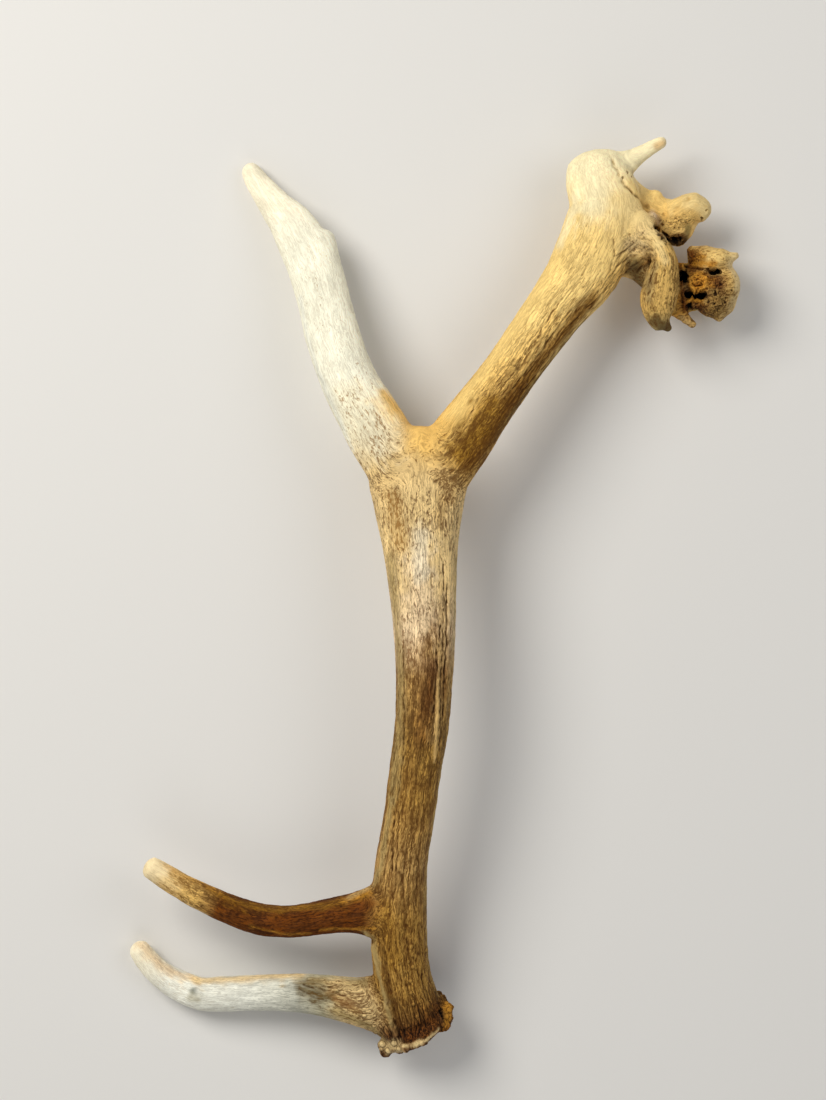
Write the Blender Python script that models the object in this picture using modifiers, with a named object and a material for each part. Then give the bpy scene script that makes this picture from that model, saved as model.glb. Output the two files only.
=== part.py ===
"""An elk's shed antler with a misgrown crown, lying on its inner side on a flat surface.

The antler is one bone. It is grown here as one skin, then parted at its main forks.
Stations are in millimetres from the burr's centre: x to the right, y up the beam, z above the surface.
"""

import math
import random
from collections import namedtuple

import bmesh
import bpy
from mathutils import Matrix, Vector

MM = 0.001

# Driving sizes
FORK_GAP = 0.3 * MM
SKIN_VOXEL = 2.2 * MM
SKIN_TRIANGLES = 7900
SKIN_SWELL = 0.7
BURR_CENTRE = Vector((0.5, -1, 40.5))
BURR_HALF_WIDTH = 38.0
BURR_HALF_DEPTH = 35.0
BURR_LEAN = Vector((-0.543, 0.703, 0.454)).normalized()
SEAL_DEPTH = 10.5
PEARL_COUNT = 22
PEARL_RADIUS = 5.2
RING_STEP = 5.0
RING_SIDES = 40

# A section of a limb: its centre, half its width across the view and half its depth along z.
Station = namedtuple("Station", "x y z half_width half_depth")

BEAM = [
    Station(-3, 10, 46, 31, 31),
    Station(-13, 41, 57, 29.5, 30),
    Station(-17.5, 79, 68, 28.5, 29),
    Station(-18, 128, 79, 28, 28),
    Station(-15, 176, 88, 26, 26.5),
    Station(-7, 223, 96, 25.5, 26),
    Station(-1, 270, 102, 26, 26),
    Station(6, 317, 106, 27, 26),
    Station(8.5, 364, 108, 28.5, 26),
    Station(9, 410, 108, 31, 26),
    Station(7, 457, 106, 34, 26),
    Station(4.5, 504, 103, 38.5, 26),
    Station(3, 545, 99, 46, 26),
    Station(3, 575, 95, 50, 25.5),
    Station(4, 600, 92, 36, 23),
    Station(5, 614, 91, 24, 19),
]
FORK_TINE = [
    Station(-8, 550, 98, 29, 22),
    Station(-22, 590, 94, 32, 23),
    Station(-38, 617, 90, 32.5, 23),
    Station(-52, 642, 85, 31, 22.5),
    Station(-66.5, 667, 79, 29, 22),
    Station(-77.5, 693, 73, 28, 21.5),
    Station(-88, 725, 65, 28, 21),
    Station(-96, 757, 57, 27, 20),
    Station(-103, 783, 50, 27.5, 19),
    Station(-110, 807, 44, 28, 18),
    Station(-112, 820, 41, 27.5, 16),
    Station(-113, 830, 39, 25, 14),
]
FORK_TINE_TIP = [
    Station(-110, 800, 46, 26, 18),
    Station(-123, 828, 38, 25, 16.5),
    Station(-134, 846, 31, 22, 15),
    Station(-147, 861, 25, 17.5, 13),
    Station(-160, 878, 19, 14, 11.5),
    Station(-171, 893, 13, 11.5, 10.5),
    Station(-176, 902, 9, 9.5, 9.5),
]
UPPER_BEAM = [
    Station(12, 550, 98, 29, 22),
    Station(31, 590, 95, 32.5, 24),
    Station(50, 617, 92, 32, 24.5),
    Station(67.5, 642, 90, 29.5, 25),
    Station(95.5, 680, 85, 27.5, 25),
    Station(122.5, 718, 80, 28.5, 25),
    Station(148.5, 753.5, 75, 31, 26),
    Station(171, 783, 71, 36, 27),
    Station(186, 811, 68, 39, 28),
    Station(196, 836, 66, 40, 28),
    Station(198.5, 861, 64, 37, 27),
    Station(192, 885, 62, 34.5, 24),
    Station(188, 902, 60, 30, 18),
]
BEZ_TINE = [
    Station(-17, 123, 80, 41, 23),
    Station(-34, 121, 82, 33.5, 21.5),
    Station(-50, 120, 82, 25, 19.5),
    Station(-65, 119, 81, 20.5, 18),
    Station(-82, 117, 78.5, 18, 16.5),
    Station(-115, 111, 74, 16.5, 15),
    Station(-137, 109, 70.5, 16, 14.5),
    Station(-163, 111, 67, 16, 14.2),
    Station(-190, 119, 65, 15, 13.7),
    Station(-216, 130, 64, 14, 13),
    Station(-242, 143, 65, 13, 12.2),
    Station(-263, 156, 67, 12, 11.3),
    Station(-278, 166, 69, 11, 10.2),
]
BROW_TINE = [
    Station(-18, 16, 50, 38, 26),
    Station(-38, 20, 50, 31, 24),
    Station(-59, 22, 49, 25.5, 21),
    Station(-80, 25, 46, 22.5, 19),
    Station(-110, 29, 41, 20.5, 17.5),
    Station(-139, 30, 36, 19, 16.5),
    Station(-171, 29, 31, 18, 16),
    Station(-203, 27, 25, 18, 15.5),
    Station(-226, 26, 20.5, 17, 15),
    Station(-247, 32, 15.5, 16, 14.5),
    Station(-266, 42, 13, 14, 13.5),
    Station(-282, 56, 14, 12.5, 12),
    Station(-293, 71, 16, 11.3, 10.5),
]
CROWN_SPIKE = [
    Station(207, 900, 54, 18.5, 13),
    Station(219, 904, 56, 14, 11),
    Station(231, 911, 58, 9, 8.5),
    Station(243, 918, 60, 7, 7),
    Station(252, 923, 62, 6, 6),
    Station(258, 926, 63, 5.5, 5.5),
]
CROWN_PLATE = [
    Station(207, 882, 48, 23, 18),
    Station(223, 867, 47, 21, 14),
    Station(242, 854, 45, 22, 12),
    Station(259, 846, 44, 23, 12),
    Station(274, 845, 44, 24, 13),
    Station(285, 853, 46, 16, 14),
]
CROWN_KNOB = [
    Station(268, 849, 48, 15, 12),
    Station(282, 855, 54, 15, 14),
    Station(292, 859, 55, 14.5, 14),
    Station(301, 854, 53, 12, 12.5),
]
CROWN_LOBE = [
    Station(201, 836, 66, 37, 22),
    Station(220, 833, 69, 29, 19),
    Station(234, 829, 73, 22, 16),
    Station(245, 823, 77, 13.5, 14),
    Station(254, 813, 79, 11.5, 13.5),
    Station(259, 802, 79, 12.5, 14),
    Station(259, 790, 77, 15, 15),
    Station(257, 777, 75, 18, 16),
    Station(254, 763, 73, 19, 16.5),
    Station(253, 751, 71, 17, 15.5),
    Station(254, 740, 69, 12, 13),
    Station(256, 733, 67, 8, 10),
]
CROWN_CUP = [
    Station(206, 806, 50, 19, 20),
    Station(229, 800, 48, 15.5, 17),
    Station(248, 791, 46, 18, 18),
    Station(270, 777, 44, 23, 20),
    Station(291, 775, 42, 23, 22),
]

# Knots and rough bits of the crown: centre, then the three half sizes.
Knot = namedtuple("Knot", "x y z rx ry rz")
CROWN_KNOTS = [
    Knot(313, 780, 34, 25, 35, 35.5),
    Knot(303, 808, 46, 18, 11, 20),
    Knot(291, 813, 46, 6, 6.5, 8),
    Knot(319, 803, 48, 15, 13, 24),
    Knot(328, 776, 44, 14, 21, 28),
    Knot(317, 759, 40, 21, 16, 30),
    Knot(335, 807, 56, 5, 4.5, 8),
    Knot(320, 744, 44, 5, 5.5, 10),
    Knot(296, 782, 48, 10.5, 9.5, 10),
    Knot(289, 756, 48, 10.5, 7, 9),
    Knot(282, 796, 56, 6.5, 5.5, 7),
    Knot(278, 746, 53, 8, 6, 6),
    Knot(285, 740, 53, 6, 5, 5.5),
    Knot(291, 735, 53, 5, 4.5, 5),
    Knot(264, 731, 66, 5, 5, 5),
    Knot(268, 752, 50, 9, 7, 10),
    Knot(248, 846, 64, 6, 7, 9),
    Knot(276, 831, 42, 11.5, 13, 14),
    Knot(284, 831, 42, 4.5, 8, 10),
    Knot(252, 871, 46, 8, 7, 10),
]
# Hollows where the crown's spongy core shows.
CROWN_PITS = [
    Knot(280, 809, 62, 8, 9.5, 40),
    Knot(280, 783, 62, 5, 6, 30),
    Knot(292, 766, 64, 9.5, 5.8, 30),
    Knot(304, 787, 76, 12.5, 8.5, 18),
    Knot(315, 790, 62, 7.5, 3, 14),
    Knot(253, 834, 66, 4.5, 7, 24),
    Knot(273, 824, 58, 7.5, 6.5, 12),
    Knot(312, 767, 70, 3.5, 4.5, 6),
    Knot(323, 760, 68, 4.5, 3.5, 6),
]
# Where the brow tine's root runs into the burr.
BROW_ROOT = Knot(-24, -5, 52, 14, 16, 18)
# The burr's biggest pearls, and the one that the burr rests on.
BURR_PEARLS = [
    Knot(-36, -24, 44, 5.5, 5.5, 5.5),
    Knot(-32, -32, 41, 7, 7, 7),
    Knot(-24, -26, 47, 6.5, 6.5, 6.5),
    Knot(-17, -29, 49, 5, 5, 5),
    Knot(34, 16, 52, 6, 6, 6),
    Knot(34, 6, 56, 6, 6, 6),
    Knot(32, -4, 58, 7, 7, 7),
    Knot(-9, 11, 5.4, 9, 8, 6.6),
]

# A saw cut across one limb: where it is, which way it faces, and how far it reaches across and along z.
Cut = namedtuple("Cut", "x y z facing_deg across low high")
CUTS = [
    Cut(-57, 122, 80, 180, 84, -60, 60),
    Cut(-57, 20, 50, 180, 72, -50, 60),
    Cut(-36, 617, 90, 116, 104, -60, 60),
    Cut(41, 617, 92, 65, 98, -60, 60),
    Cut(222.5, 902.5, 57, 33, 44, -30, 30),
    Cut(260, 848, 46, 0, 64, -30, 15),
    Cut(245, 817.5, 77, -42, 45, -42, 24),
    Cut(234, 796, 48, 0, 52, -30, 24),
]

# Each bone piece: a point inside it, and its colour and roughness.
Piece = namedtuple("Piece", "x y z color roughness")
PIECES = {
    "main_beam": Piece(5, 317, 106, (0.42, 0.28, 0.13), 0.62),
    "brow_tine": Piece(-171, 29, 31, (0.68, 0.62, 0.52), 0.55),
    "bez_tine": Piece(-163, 111, 67, (0.30, 0.16, 0.05), 0.55),
    "fork_tine": Piece(-87, 725, 65, (0.80, 0.72, 0.52), 0.58),
    "upper_beam": Piece(123, 718, 80, (0.58, 0.40, 0.18), 0.6),
    "crown_spike": Piece(251, 923, 62, (0.72, 0.58, 0.34), 0.6),
    "crown_knob": Piece(280, 850, 46, (0.62, 0.45, 0.22), 0.62),
    "crown_cup": Piece(320, 783, 36, (0.50, 0.34, 0.15), 0.7),
}


def clear_scene():
    for old in list(bpy.data.objects):
        bpy.data.objects.remove(old, do_unlink=True)


def new_object(name, mesh, collection):
    made = bpy.data.objects.new(name, mesh)
    collection.objects.link(made)
    return made


def between(stations, place):
    """The section at a place along the stations, on a Catmull-Rom curve through them."""
    index = min(int(place), len(stations) - 2)
    t = place - index
    rows = [stations[max(0, min(len(stations) - 1, index + step))] for step in (-1, 0, 1, 2)]
    weights = (
        0.5 * (-t + 2 * t**2 - t**3),
        0.5 * (2 - 5 * t**2 + 3 * t**3),
        0.5 * (t + 4 * t**2 - 3 * t**3),
        0.5 * (-(t**2) + t**3),
    )
    return Station(*(sum(w * row[i] for w, row in zip(weights, rows)) for i in range(5)))


def sections(stations, end_bluntness):
    """Evenly spaced sections along a limb, closing to a rounded end."""
    found = []
    for index in range(len(stations) - 1):
        here, there = stations[index], stations[index + 1]
        reach = math.dist(here[:3], there[:3])
        count = max(2, round(reach / RING_STEP))
        found += [between(stations, index + step / count) for step in range(count)]
    last = stations[-1]
    found.append(last)
    heading = (Vector(last[:3]) - Vector(stations[-2][:3])).normalized()
    reach = end_bluntness * 0.5 * (last.half_width + last.half_depth)
    for turn in (0.3, 0.55, 0.75, 0.9, 0.98):
        angle = turn * math.pi / 2
        centre = Vector(last[:3]) + heading * reach * math.sin(angle)
        found.append(Station(*centre, last.half_width * math.cos(angle), last.half_depth * math.cos(angle)))
    return found


def ring_points(section, heading, flute_depth):
    """The points round one section, square to the limb's heading, with shallow flutes."""
    side = heading.cross(Vector((0, 0, 1))).normalized()
    rise = side.cross(heading).normalized()
    points = []
    for step in range(RING_SIDES):
        angle = 2 * math.pi * step / RING_SIDES
        wave = math.cos(7 * angle + 0.003 * section.y) + 0.6 * math.cos(12 * angle - 0.004 * section.y)
        flute = 1 + flute_depth * wave
        across = side * ((section.half_width + SKIN_SWELL) * math.cos(angle) * flute)
        up = rise * ((section.half_depth + SKIN_SWELL) * math.sin(angle) * flute)
        points.append((Vector(section[:3]) + across + up) * MM)
    return points


def limb(stations, end_bluntness=1.0, flute_depth=0.0):
    """A loft through unlike oval sections, closed at both ends."""
    rows = sections(stations, end_bluntness)
    shape = bmesh.new()
    rings = []
    for index, row in enumerate(rows):
        before = Vector(rows[max(index - 1, 0)][:3])
        after = Vector(rows[min(index + 1, len(rows) - 1)][:3])
        heading = (after - before).normalized()
        rings.append([shape.verts.new(p) for p in ring_points(row, heading, flute_depth)])
    for low, high in zip(rings, rings[1:]):
        for step in range(RING_SIDES):
            turn = (step + 1) % RING_SIDES
            shape.faces.new((low[step], low[turn], high[turn], high[step]))
    shape.faces.new(rings[0][::-1])
    shape.faces.new(rings[-1])
    bmesh.ops.recalc_face_normals(shape, faces=shape.faces)
    return shape


def knot(place):
    """A rounded knot of bone."""
    shape = bmesh.new()
    bmesh.ops.create_icosphere(shape, subdivisions=3, radius=1.0)
    size = Matrix.Diagonal((place.rx * MM, place.ry * MM, place.rz * MM, 1))
    shape.transform(Matrix.Translation(Vector(place[:3]) * MM) @ size)
    return shape


def burr():
    """The oblique burr: a low drum whose flat outer face is the seal that let go of the skull."""
    heights = ((-12, 0.66), (-8, 0.84), (-3, 0.98), (2, 1.0), (7, 0.92), (13, 0.78), (22, 0.64))
    stations = []
    for height, share in heights:
        place = BURR_CENTRE + BURR_LEAN * height
        stations.append(Station(*place, BURR_HALF_WIDTH * share, BURR_HALF_DEPTH * share))
    return limb(stations, end_bluntness=0.4)


def pearls():
    """The ring of knobs round the burr's rim, uneven in size and height."""
    chance = random.Random(11)
    side = BURR_LEAN.cross(Vector((0, 0, 1))).normalized()
    rise = side.cross(BURR_LEAN).normalized()
    ring = []
    for step in range(PEARL_COUNT):
        angle = 2 * math.pi * (step + chance.uniform(-0.2, 0.2)) / PEARL_COUNT
        across = side * ((BURR_HALF_WIDTH + chance.uniform(-1.5, 0.5)) * math.cos(angle))
        up = rise * ((BURR_HALF_DEPTH - 1.0) * math.sin(angle))
        lift = BURR_LEAN * chance.uniform(-2.0, 4.0)
        centre = BURR_CENTRE + across + up + lift
        radius = PEARL_RADIUS * chance.uniform(0.75, 1.15)
        ring.append(knot(Knot(*centre, radius, radius, radius * 1.1)))
    return ring


def joined(name, shapes, collection):
    """One mesh object that holds several overlapping closed shapes."""
    whole = bmesh.new()
    for shape in shapes:
        single = bpy.data.meshes.new("shape")
        shape.to_mesh(single)
        shape.free()
        whole.from_mesh(single)
        bpy.data.meshes.remove(single)
    mesh = bpy.data.meshes.new(name)
    whole.to_mesh(mesh)
    whole.free()
    return new_object(name, mesh, collection)


def applied(source):
    """The mesh of an object with its modifiers worked in. The object is then removed."""
    graph = bpy.context.evaluated_depsgraph_get()
    mesh = bpy.data.meshes.new_from_object(source.evaluated_get(graph))
    bpy.data.objects.remove(source, do_unlink=True)
    return mesh


def as_cutter(cutter):
    cutter.hide_render = True
    cutter.display_type = "WIRE"
    return cutter


def take_away(target, cutter):
    cut = target.modifiers.new("cut", "BOOLEAN")
    cut.operation = "DIFFERENCE"
    cut.object = cutter


def remesh(target):
    skin = target.modifiers.new("skin", "REMESH")
    skin.mode = "VOXEL"
    skin.voxel_size = SKIN_VOXEL


def slab(cut, collection):
    """A thin upright slab that parts a limb at a fork."""
    shape = bmesh.new()
    bmesh.ops.create_cube(shape, size=1.0)
    size = Matrix.Diagonal((FORK_GAP, cut.across * MM, (cut.high - cut.low) * MM, 1))
    turn = Matrix.Rotation(math.radians(cut.facing_deg), 4, "Z")
    middle = Vector((cut.x, cut.y, cut.z + 0.5 * (cut.low + cut.high))) * MM
    shape.transform(Matrix.Translation(middle) @ turn @ size)
    return as_cutter(joined("fork_cut", [shape], collection))


def ground(collection):
    """The surface that the antler lies on. It leaves a small worn flat at each point of rest."""
    shape = bmesh.new()
    bmesh.ops.create_cube(shape, size=1.0)
    size = Matrix.Diagonal((1.4, 1.6, 0.05, 1))
    shape.transform(Matrix.Translation((0, 0.4, -0.025)) @ size)
    return as_cutter(joined("ground_cut", [shape], collection))


def seal_face(collection):
    """A block that trims the burr's seal to one flat face."""
    shape = bmesh.new()
    bmesh.ops.create_cube(shape, size=1.0)
    depth = 0.04
    size = Matrix.Diagonal((0.12, 0.12, depth, 1))
    turn = BURR_LEAN.to_track_quat("Z", "Y").to_matrix().to_4x4()
    face = (BURR_CENTRE - BURR_LEAN * SEAL_DEPTH) * MM
    middle = face - BURR_LEAN * (depth / 2)
    shape.transform(Matrix.Translation(middle) @ turn @ size)
    return as_cutter(joined("seal_cut", [shape], collection))


def grow_antler(scratch, cutters):
    """The whole antler as one light skin, before it is parted."""
    limbs = [
        limb(BEAM, end_bluntness=0.6, flute_depth=0.022),
        limb(FORK_TINE, end_bluntness=0.3),
        limb(FORK_TINE_TIP, end_bluntness=0.9),
        limb(UPPER_BEAM, end_bluntness=0.66),
        limb(BEZ_TINE, end_bluntness=0.6, flute_depth=0.02),
        limb(BROW_TINE, end_bluntness=1.0),
        limb(CROWN_SPIKE, end_bluntness=0.9),
        limb(CROWN_PLATE, end_bluntness=0.6),
        limb(CROWN_KNOB, end_bluntness=0.7),
        limb(CROWN_LOBE, end_bluntness=0.5),
        limb(CROWN_CUP, end_bluntness=0.3),
    ]
    knots = [knot(place) for place in CROWN_KNOTS + BURR_PEARLS + [BROW_ROOT]]
    bulk = joined("bulk", limbs + [burr()] + pearls() + knots, scratch)
    remesh(bulk)
    for place in CROWN_PITS:
        take_away(bulk, as_cutter(joined("pit_cut", [knot(place)], cutters)))
    remesh(bulk)
    soften = bulk.modifiers.new("soften", "SMOOTH")
    soften.factor = 0.5
    soften.iterations = 3
    lighten = bulk.modifiers.new("lighten", "DECIMATE")
    graph = bpy.context.evaluated_depsgraph_get()
    lighten.show_viewport = False
    quads = len(bulk.evaluated_get(graph).data.polygons)
    lighten.show_viewport = True
    lighten.ratio = SKIN_TRIANGLES / (2 * quads)
    return bulk


def islands(mesh):
    """The separate bodies of a mesh, each as its own list of faces."""
    shape = bmesh.new()
    shape.from_mesh(mesh)
    left = set(shape.faces)
    found = []
    while left:
        group = {left.pop()}
        edge = set(group)
        while edge:
            edge = {near for face in edge for side in face.edges for near in side.link_faces} & left
            group |= edge
            left -= edge
        found.append(group)
    return shape, found


def bone_material(name, color, roughness):
    material = bpy.data.materials.new(name)
    material.use_nodes = True
    surface = material.node_tree.nodes["Principled BSDF"]
    surface.inputs["Base Color"].default_value = (*color, 1)
    surface.inputs["Roughness"].default_value = roughness
    surface.inputs["Metallic"].default_value = 0.0
    material.diffuse_color = (*color, 1)
    return material


def nearest_group(groups, point):
    """The body whose surface comes closest to a point inside it."""
    return min(groups, key=lambda group: min((face.calc_center_median() - point).length for face in group))


def body_object(name, piece, shape, group, collection):
    """One body of the parted antler as an object, with its origin at the piece's own point."""
    origin = Vector(piece[:3]) * MM
    single = shape.copy()
    keep = {face.index for face in group}
    single.faces.ensure_lookup_table()
    bmesh.ops.delete(single, geom=[f for f in single.faces if f.index not in keep], context="FACES")
    mesh = bpy.data.meshes.new(name)
    single.to_mesh(mesh)
    single.free()
    mesh.transform(Matrix.Translation(-origin))
    mesh.shade_smooth()
    mesh.set_sharp_from_angle(angle=math.radians(50))
    mesh.materials.append(bone_material(name, piece.color, piece.roughness))
    made = new_object(name, mesh, collection)
    made.location = origin
    return made


def part_at_forks(whole, collection):
    shape, groups = islands(whole)
    shape.faces.index_update()
    print("bodies", len(groups), "faces", len(shape.faces))
    assert len(groups) == len(PIECES)
    bodies = []
    for name, piece in PIECES.items():
        group = nearest_group(groups, Vector(piece[:3]) * MM)
        groups.remove(group)
        bodies.append(body_object(name, piece, shape, group, collection))
    shape.free()
    return bodies


def stand_on_origin(bodies, collection):
    """Parents the bodies to an empty that puts the middle of the antler's footprint at the origin."""
    bpy.context.view_layer.update()
    corners = [body.matrix_world @ vertex.co for body in bodies for vertex in body.data.vertices]
    low = Vector(min(corner[i] for corner in corners) for i in range(3))
    high = Vector(max(corner[i] for corner in corners) for i in range(3))
    antler = new_object("elk_antler", None, collection)
    antler.location = (-0.5 * (low.x + high.x), -0.5 * (low.y + high.y), -low.z)
    for body in bodies:
        body.parent = antler
    print("size mm", [round(1000 * x, 1) for x in high - low], "low z", round(1000 * low.z, 2))


def main():
    clear_scene()
    antler = bpy.data.collections.new("elk_antler")
    cutters = bpy.data.collections.new("cutters")
    bpy.context.scene.collection.children.link(antler)
    bpy.context.scene.collection.children.link(cutters)
    bulk = grow_antler(antler, cutters)
    skin = new_object("skin", applied(bulk), antler)
    for cut in CUTS:
        take_away(skin, slab(cut, cutters))
    take_away(skin, seal_face(cutters))
    take_away(skin, ground(cutters))
    bodies = part_at_forks(applied(skin), antler)
    stand_on_origin(bodies, antler)


main()
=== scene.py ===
import random

import bmesh
import bpy
import numpy as np
from mathutils import Matrix, Vector, noise
from mathutils.bvhtree import BVHTree


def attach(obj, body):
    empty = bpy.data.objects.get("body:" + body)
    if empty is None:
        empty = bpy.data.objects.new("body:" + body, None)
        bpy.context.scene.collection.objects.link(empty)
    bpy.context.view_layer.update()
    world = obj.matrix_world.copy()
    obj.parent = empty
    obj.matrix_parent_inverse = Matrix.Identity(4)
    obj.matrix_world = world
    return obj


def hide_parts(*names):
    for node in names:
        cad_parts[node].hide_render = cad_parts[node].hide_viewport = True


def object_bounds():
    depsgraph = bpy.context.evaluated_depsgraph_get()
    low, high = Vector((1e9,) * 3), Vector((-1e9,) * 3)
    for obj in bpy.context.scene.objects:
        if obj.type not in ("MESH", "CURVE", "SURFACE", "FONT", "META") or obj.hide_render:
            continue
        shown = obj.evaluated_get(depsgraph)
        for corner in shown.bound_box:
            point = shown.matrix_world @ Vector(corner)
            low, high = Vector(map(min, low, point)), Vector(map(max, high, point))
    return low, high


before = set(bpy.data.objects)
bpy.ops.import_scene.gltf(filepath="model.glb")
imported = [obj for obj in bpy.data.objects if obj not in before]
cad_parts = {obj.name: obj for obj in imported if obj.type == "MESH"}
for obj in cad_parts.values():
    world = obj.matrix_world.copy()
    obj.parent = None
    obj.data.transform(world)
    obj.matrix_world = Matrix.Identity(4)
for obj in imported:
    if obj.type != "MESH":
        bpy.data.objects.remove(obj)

cadLow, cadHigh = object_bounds()
print("frame loaded,", len(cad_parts), "bone pieces")

# Everything below is written in millimetres, in the frame's own axes, and scaled once here.
mm = 0.001


def tone(red, green, blue):
    # a colour as it is picked on screen, turned into light
    def light(c):
        c = c / 255
        return c / 12.92 if c <= 0.04045 else ((c + 0.055) / 1.055) ** 2.4
    return (light(red), light(green), light(blue))


# two of these tones are painted shade: the brown of the low wall under the lobe and the olive of the arm's
# right edge
boneTones = {
    "ivory": tone(254, 250, 226), "cream": tone(250, 241, 208), "warmCream": tone(254, 244, 214),
    "coolWhite": tone(238, 238, 224), "chalk": tone(240, 226, 194), "headCream": tone(254, 240, 194),
    "paleGold": tone(250, 220, 152), "brightGold": tone(250, 214, 134), "gold": tone(240, 194, 108),
    "goldBrown": tone(160, 110, 40), "amberGold": tone(208, 146, 48), "oliveGold": tone(156, 112, 28),
    "sand": tone(240, 207, 144), "tan": tone(216, 178, 112), "beamTan": tone(200, 158, 92),
    "roseTan": tone(252, 222, 176), "beamBrown": tone(130, 82, 32), "ashTan": tone(168, 144, 92),
    "oliveBrown": tone(102, 72, 26), "lowerBeam": tone(190, 145, 68), "umber": tone(92, 52, 10),
    "darkUmber": tone(64, 34, 6), "bark": tone(112, 62, 18), "maroon": tone(24, 8, 2),
    "amber": tone(122, 66, 8), "amberDark": tone(48, 20, 2), "amberDeep": tone(112, 58, 5),
    "greyTan": tone(216, 188, 134), "armBrown": tone(156, 108, 34), "shadedEdgeOlive": tone(120, 98, 50),
    "browWhite": tone(240, 239, 224), "browGrey": tone(200, 198, 180), "ashGrey": tone(184, 176, 144),
    "ashDark": tone(122, 110, 78), "slate": tone(120, 124, 112), "roseCream": tone(244, 216, 172),
    "rose": tone(190, 138, 88), "pearlCream": tone(240, 212, 152), "lobeTan": tone(224, 182, 102),
    "sponge": tone(118, 60, 6), "spongeGold": tone(232, 166, 60), "spongePale": tone(255, 212, 124),
    "spongeDark": tone(50, 18, 2), "rust": tone(122, 66, 16), "sealTan": tone(200, 172, 122),
    "mossGrey": tone(112, 102, 62), "shadedWallBrown": tone(122, 102, 60), "pebbleTan": tone(160, 124, 64),
    "lipRose": tone(222, 194, 160), "bezTip": tone(250, 228, 180),
}

boneSkin = {
    "voxel": 1.28,         # mm between points of the skin
    "quickVoxel": 2.4,     # the same while trying things
    "swell": 0.3,          # closes the thin gaps that part the solids at the forks
    # the web of bone between the upper beam and the lobe's root: centre, half sizes, turn
    "valleyWeb": ((213, 360, 58), (25, 13, 25), 28),
    # takes the solids' flats out of the surface: rounds, and how far each goes in and out again
    "easeRounds": 60, "quickEaseRounds": 16, "easeIn": 0.52, "easeOut": 0.54,
    # the burr and the broken crown get a skin twice as fine: low and high corner
    "fineBoxes": [((-80, -486, 0), (30, -416, 110)), ((246, 270, 24), (330, 425, 140))],
}


def fuseBone(nodes, look):
    # the eight solids become one unbroken bone
    bm = bmesh.new()
    for name in sorted(nodes):
        bm.from_mesh(nodes[name].data)
    bmesh.ops.remove_doubles(bm, verts=bm.verts, dist=1e-5)
    bm.normal_update()
    for vert in bm.verts:
        vert.co += vert.normal * look["swell"] * mm
    centre, halves, turn = look["valleyWeb"]
    web = Matrix.Translation(Vector(centre) * mm) @ Matrix.Rotation(np.radians(turn), 4, "Z")
    bmesh.ops.create_icosphere(bm, subdivisions=4, radius=mm, matrix=web @ Matrix.Diagonal((*halves, 1)))
    mesh = bpy.data.meshes.new("fusedBone")
    bm.to_mesh(mesh)
    bm.free()
    fused = bpy.data.objects.new("fusedBone", mesh)
    bpy.context.scene.collection.objects.link(fused)
    remesh = fused.modifiers.new("skin", "REMESH")
    remesh.mode = "VOXEL"
    remesh.voxel_size = look["voxel"] * mm
    graph = bpy.context.evaluated_depsgraph_get()
    skin = bpy.data.meshes.new_from_object(fused.evaluated_get(graph))
    bpy.data.objects.remove(fused)
    return skin


def refineBoxes(mesh, boxes):
    bm = bmesh.new()
    bm.from_mesh(mesh)
    for low, high in boxes:
        inside = {v for v in bm.verts if all(a < c / mm < b for a, c, b in zip(low, v.co, high))}
        chosen = [e for e in bm.edges if e.verts[0] in inside and e.verts[1] in inside]
        bmesh.ops.subdivide_edges(bm, edges=chosen, cuts=1, use_grid_fill=True)
    bm.to_mesh(mesh)
    bm.free()


def readValues(items, name, width=1, kind=np.float32):
    # one value or one row of values from each point, edge, corner or face
    values = np.empty(len(items) * width, kind)
    items.foreach_get(name, values)
    return values.reshape(-1, width) if width > 1 else values


def readPoints(mesh):
    return readValues(mesh.vertices, "co", 3).astype(float) / mm


def readNormals(mesh):
    return readValues(mesh.vertex_normals, "vector", 3).astype(float)


def writePoints(mesh, points):
    mesh.vertices.foreach_set("co", (points * mm).astype(np.float32).ravel())
    mesh.update()


def neighbourMean(values, edges):
    a, b = edges[:, 0], edges[:, 1]
    count = np.bincount(a, minlength=len(values)) + np.bincount(b, minlength=len(values))
    columns = []
    for k in range(values.shape[1]):
        total = np.bincount(a, weights=values[b, k], minlength=len(values))
        total += np.bincount(b, weights=values[a, k], minlength=len(values))
        columns.append(total / np.maximum(count, 1))
    return np.stack(columns, 1)


def easeFlats(points, edges, look):
    # smooths in and swells back, so thin tips keep their size
    for _ in range(look["easeRounds"]):
        points = points + look["easeIn"] * (neighbourMean(points, edges) - points)
        points = points - look["easeOut"] * (neighbourMean(points, edges) - points)
    return points


def smoothStep(low, high, values):
    t = np.clip((values - low) / (high - low), 0, 1)
    return t * t * (3 - 2 * t)


def bumpNoise(places, seed=0.0):
    shift = Vector((seed, seed * 1.7, -seed))
    return np.fromiter((noise.noise(Vector(p) + shift) for p in places.tolist()), float, len(places))


def cellNoise(places):
    # how far the nearest and the second nearest cell centre are
    return np.array([noise.voronoi(Vector(p))[0][:2] for p in places.tolist()]).T


# spine: x, y, z and half thickness along a branch
# tones: from root to tip, share of the length, ground, stain, flecking, grooves
# strokes: path, half width, ground, stain, flecking, grooves, sponginess, strength; a path of x, y
# alone is laid on the upper side only

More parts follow.
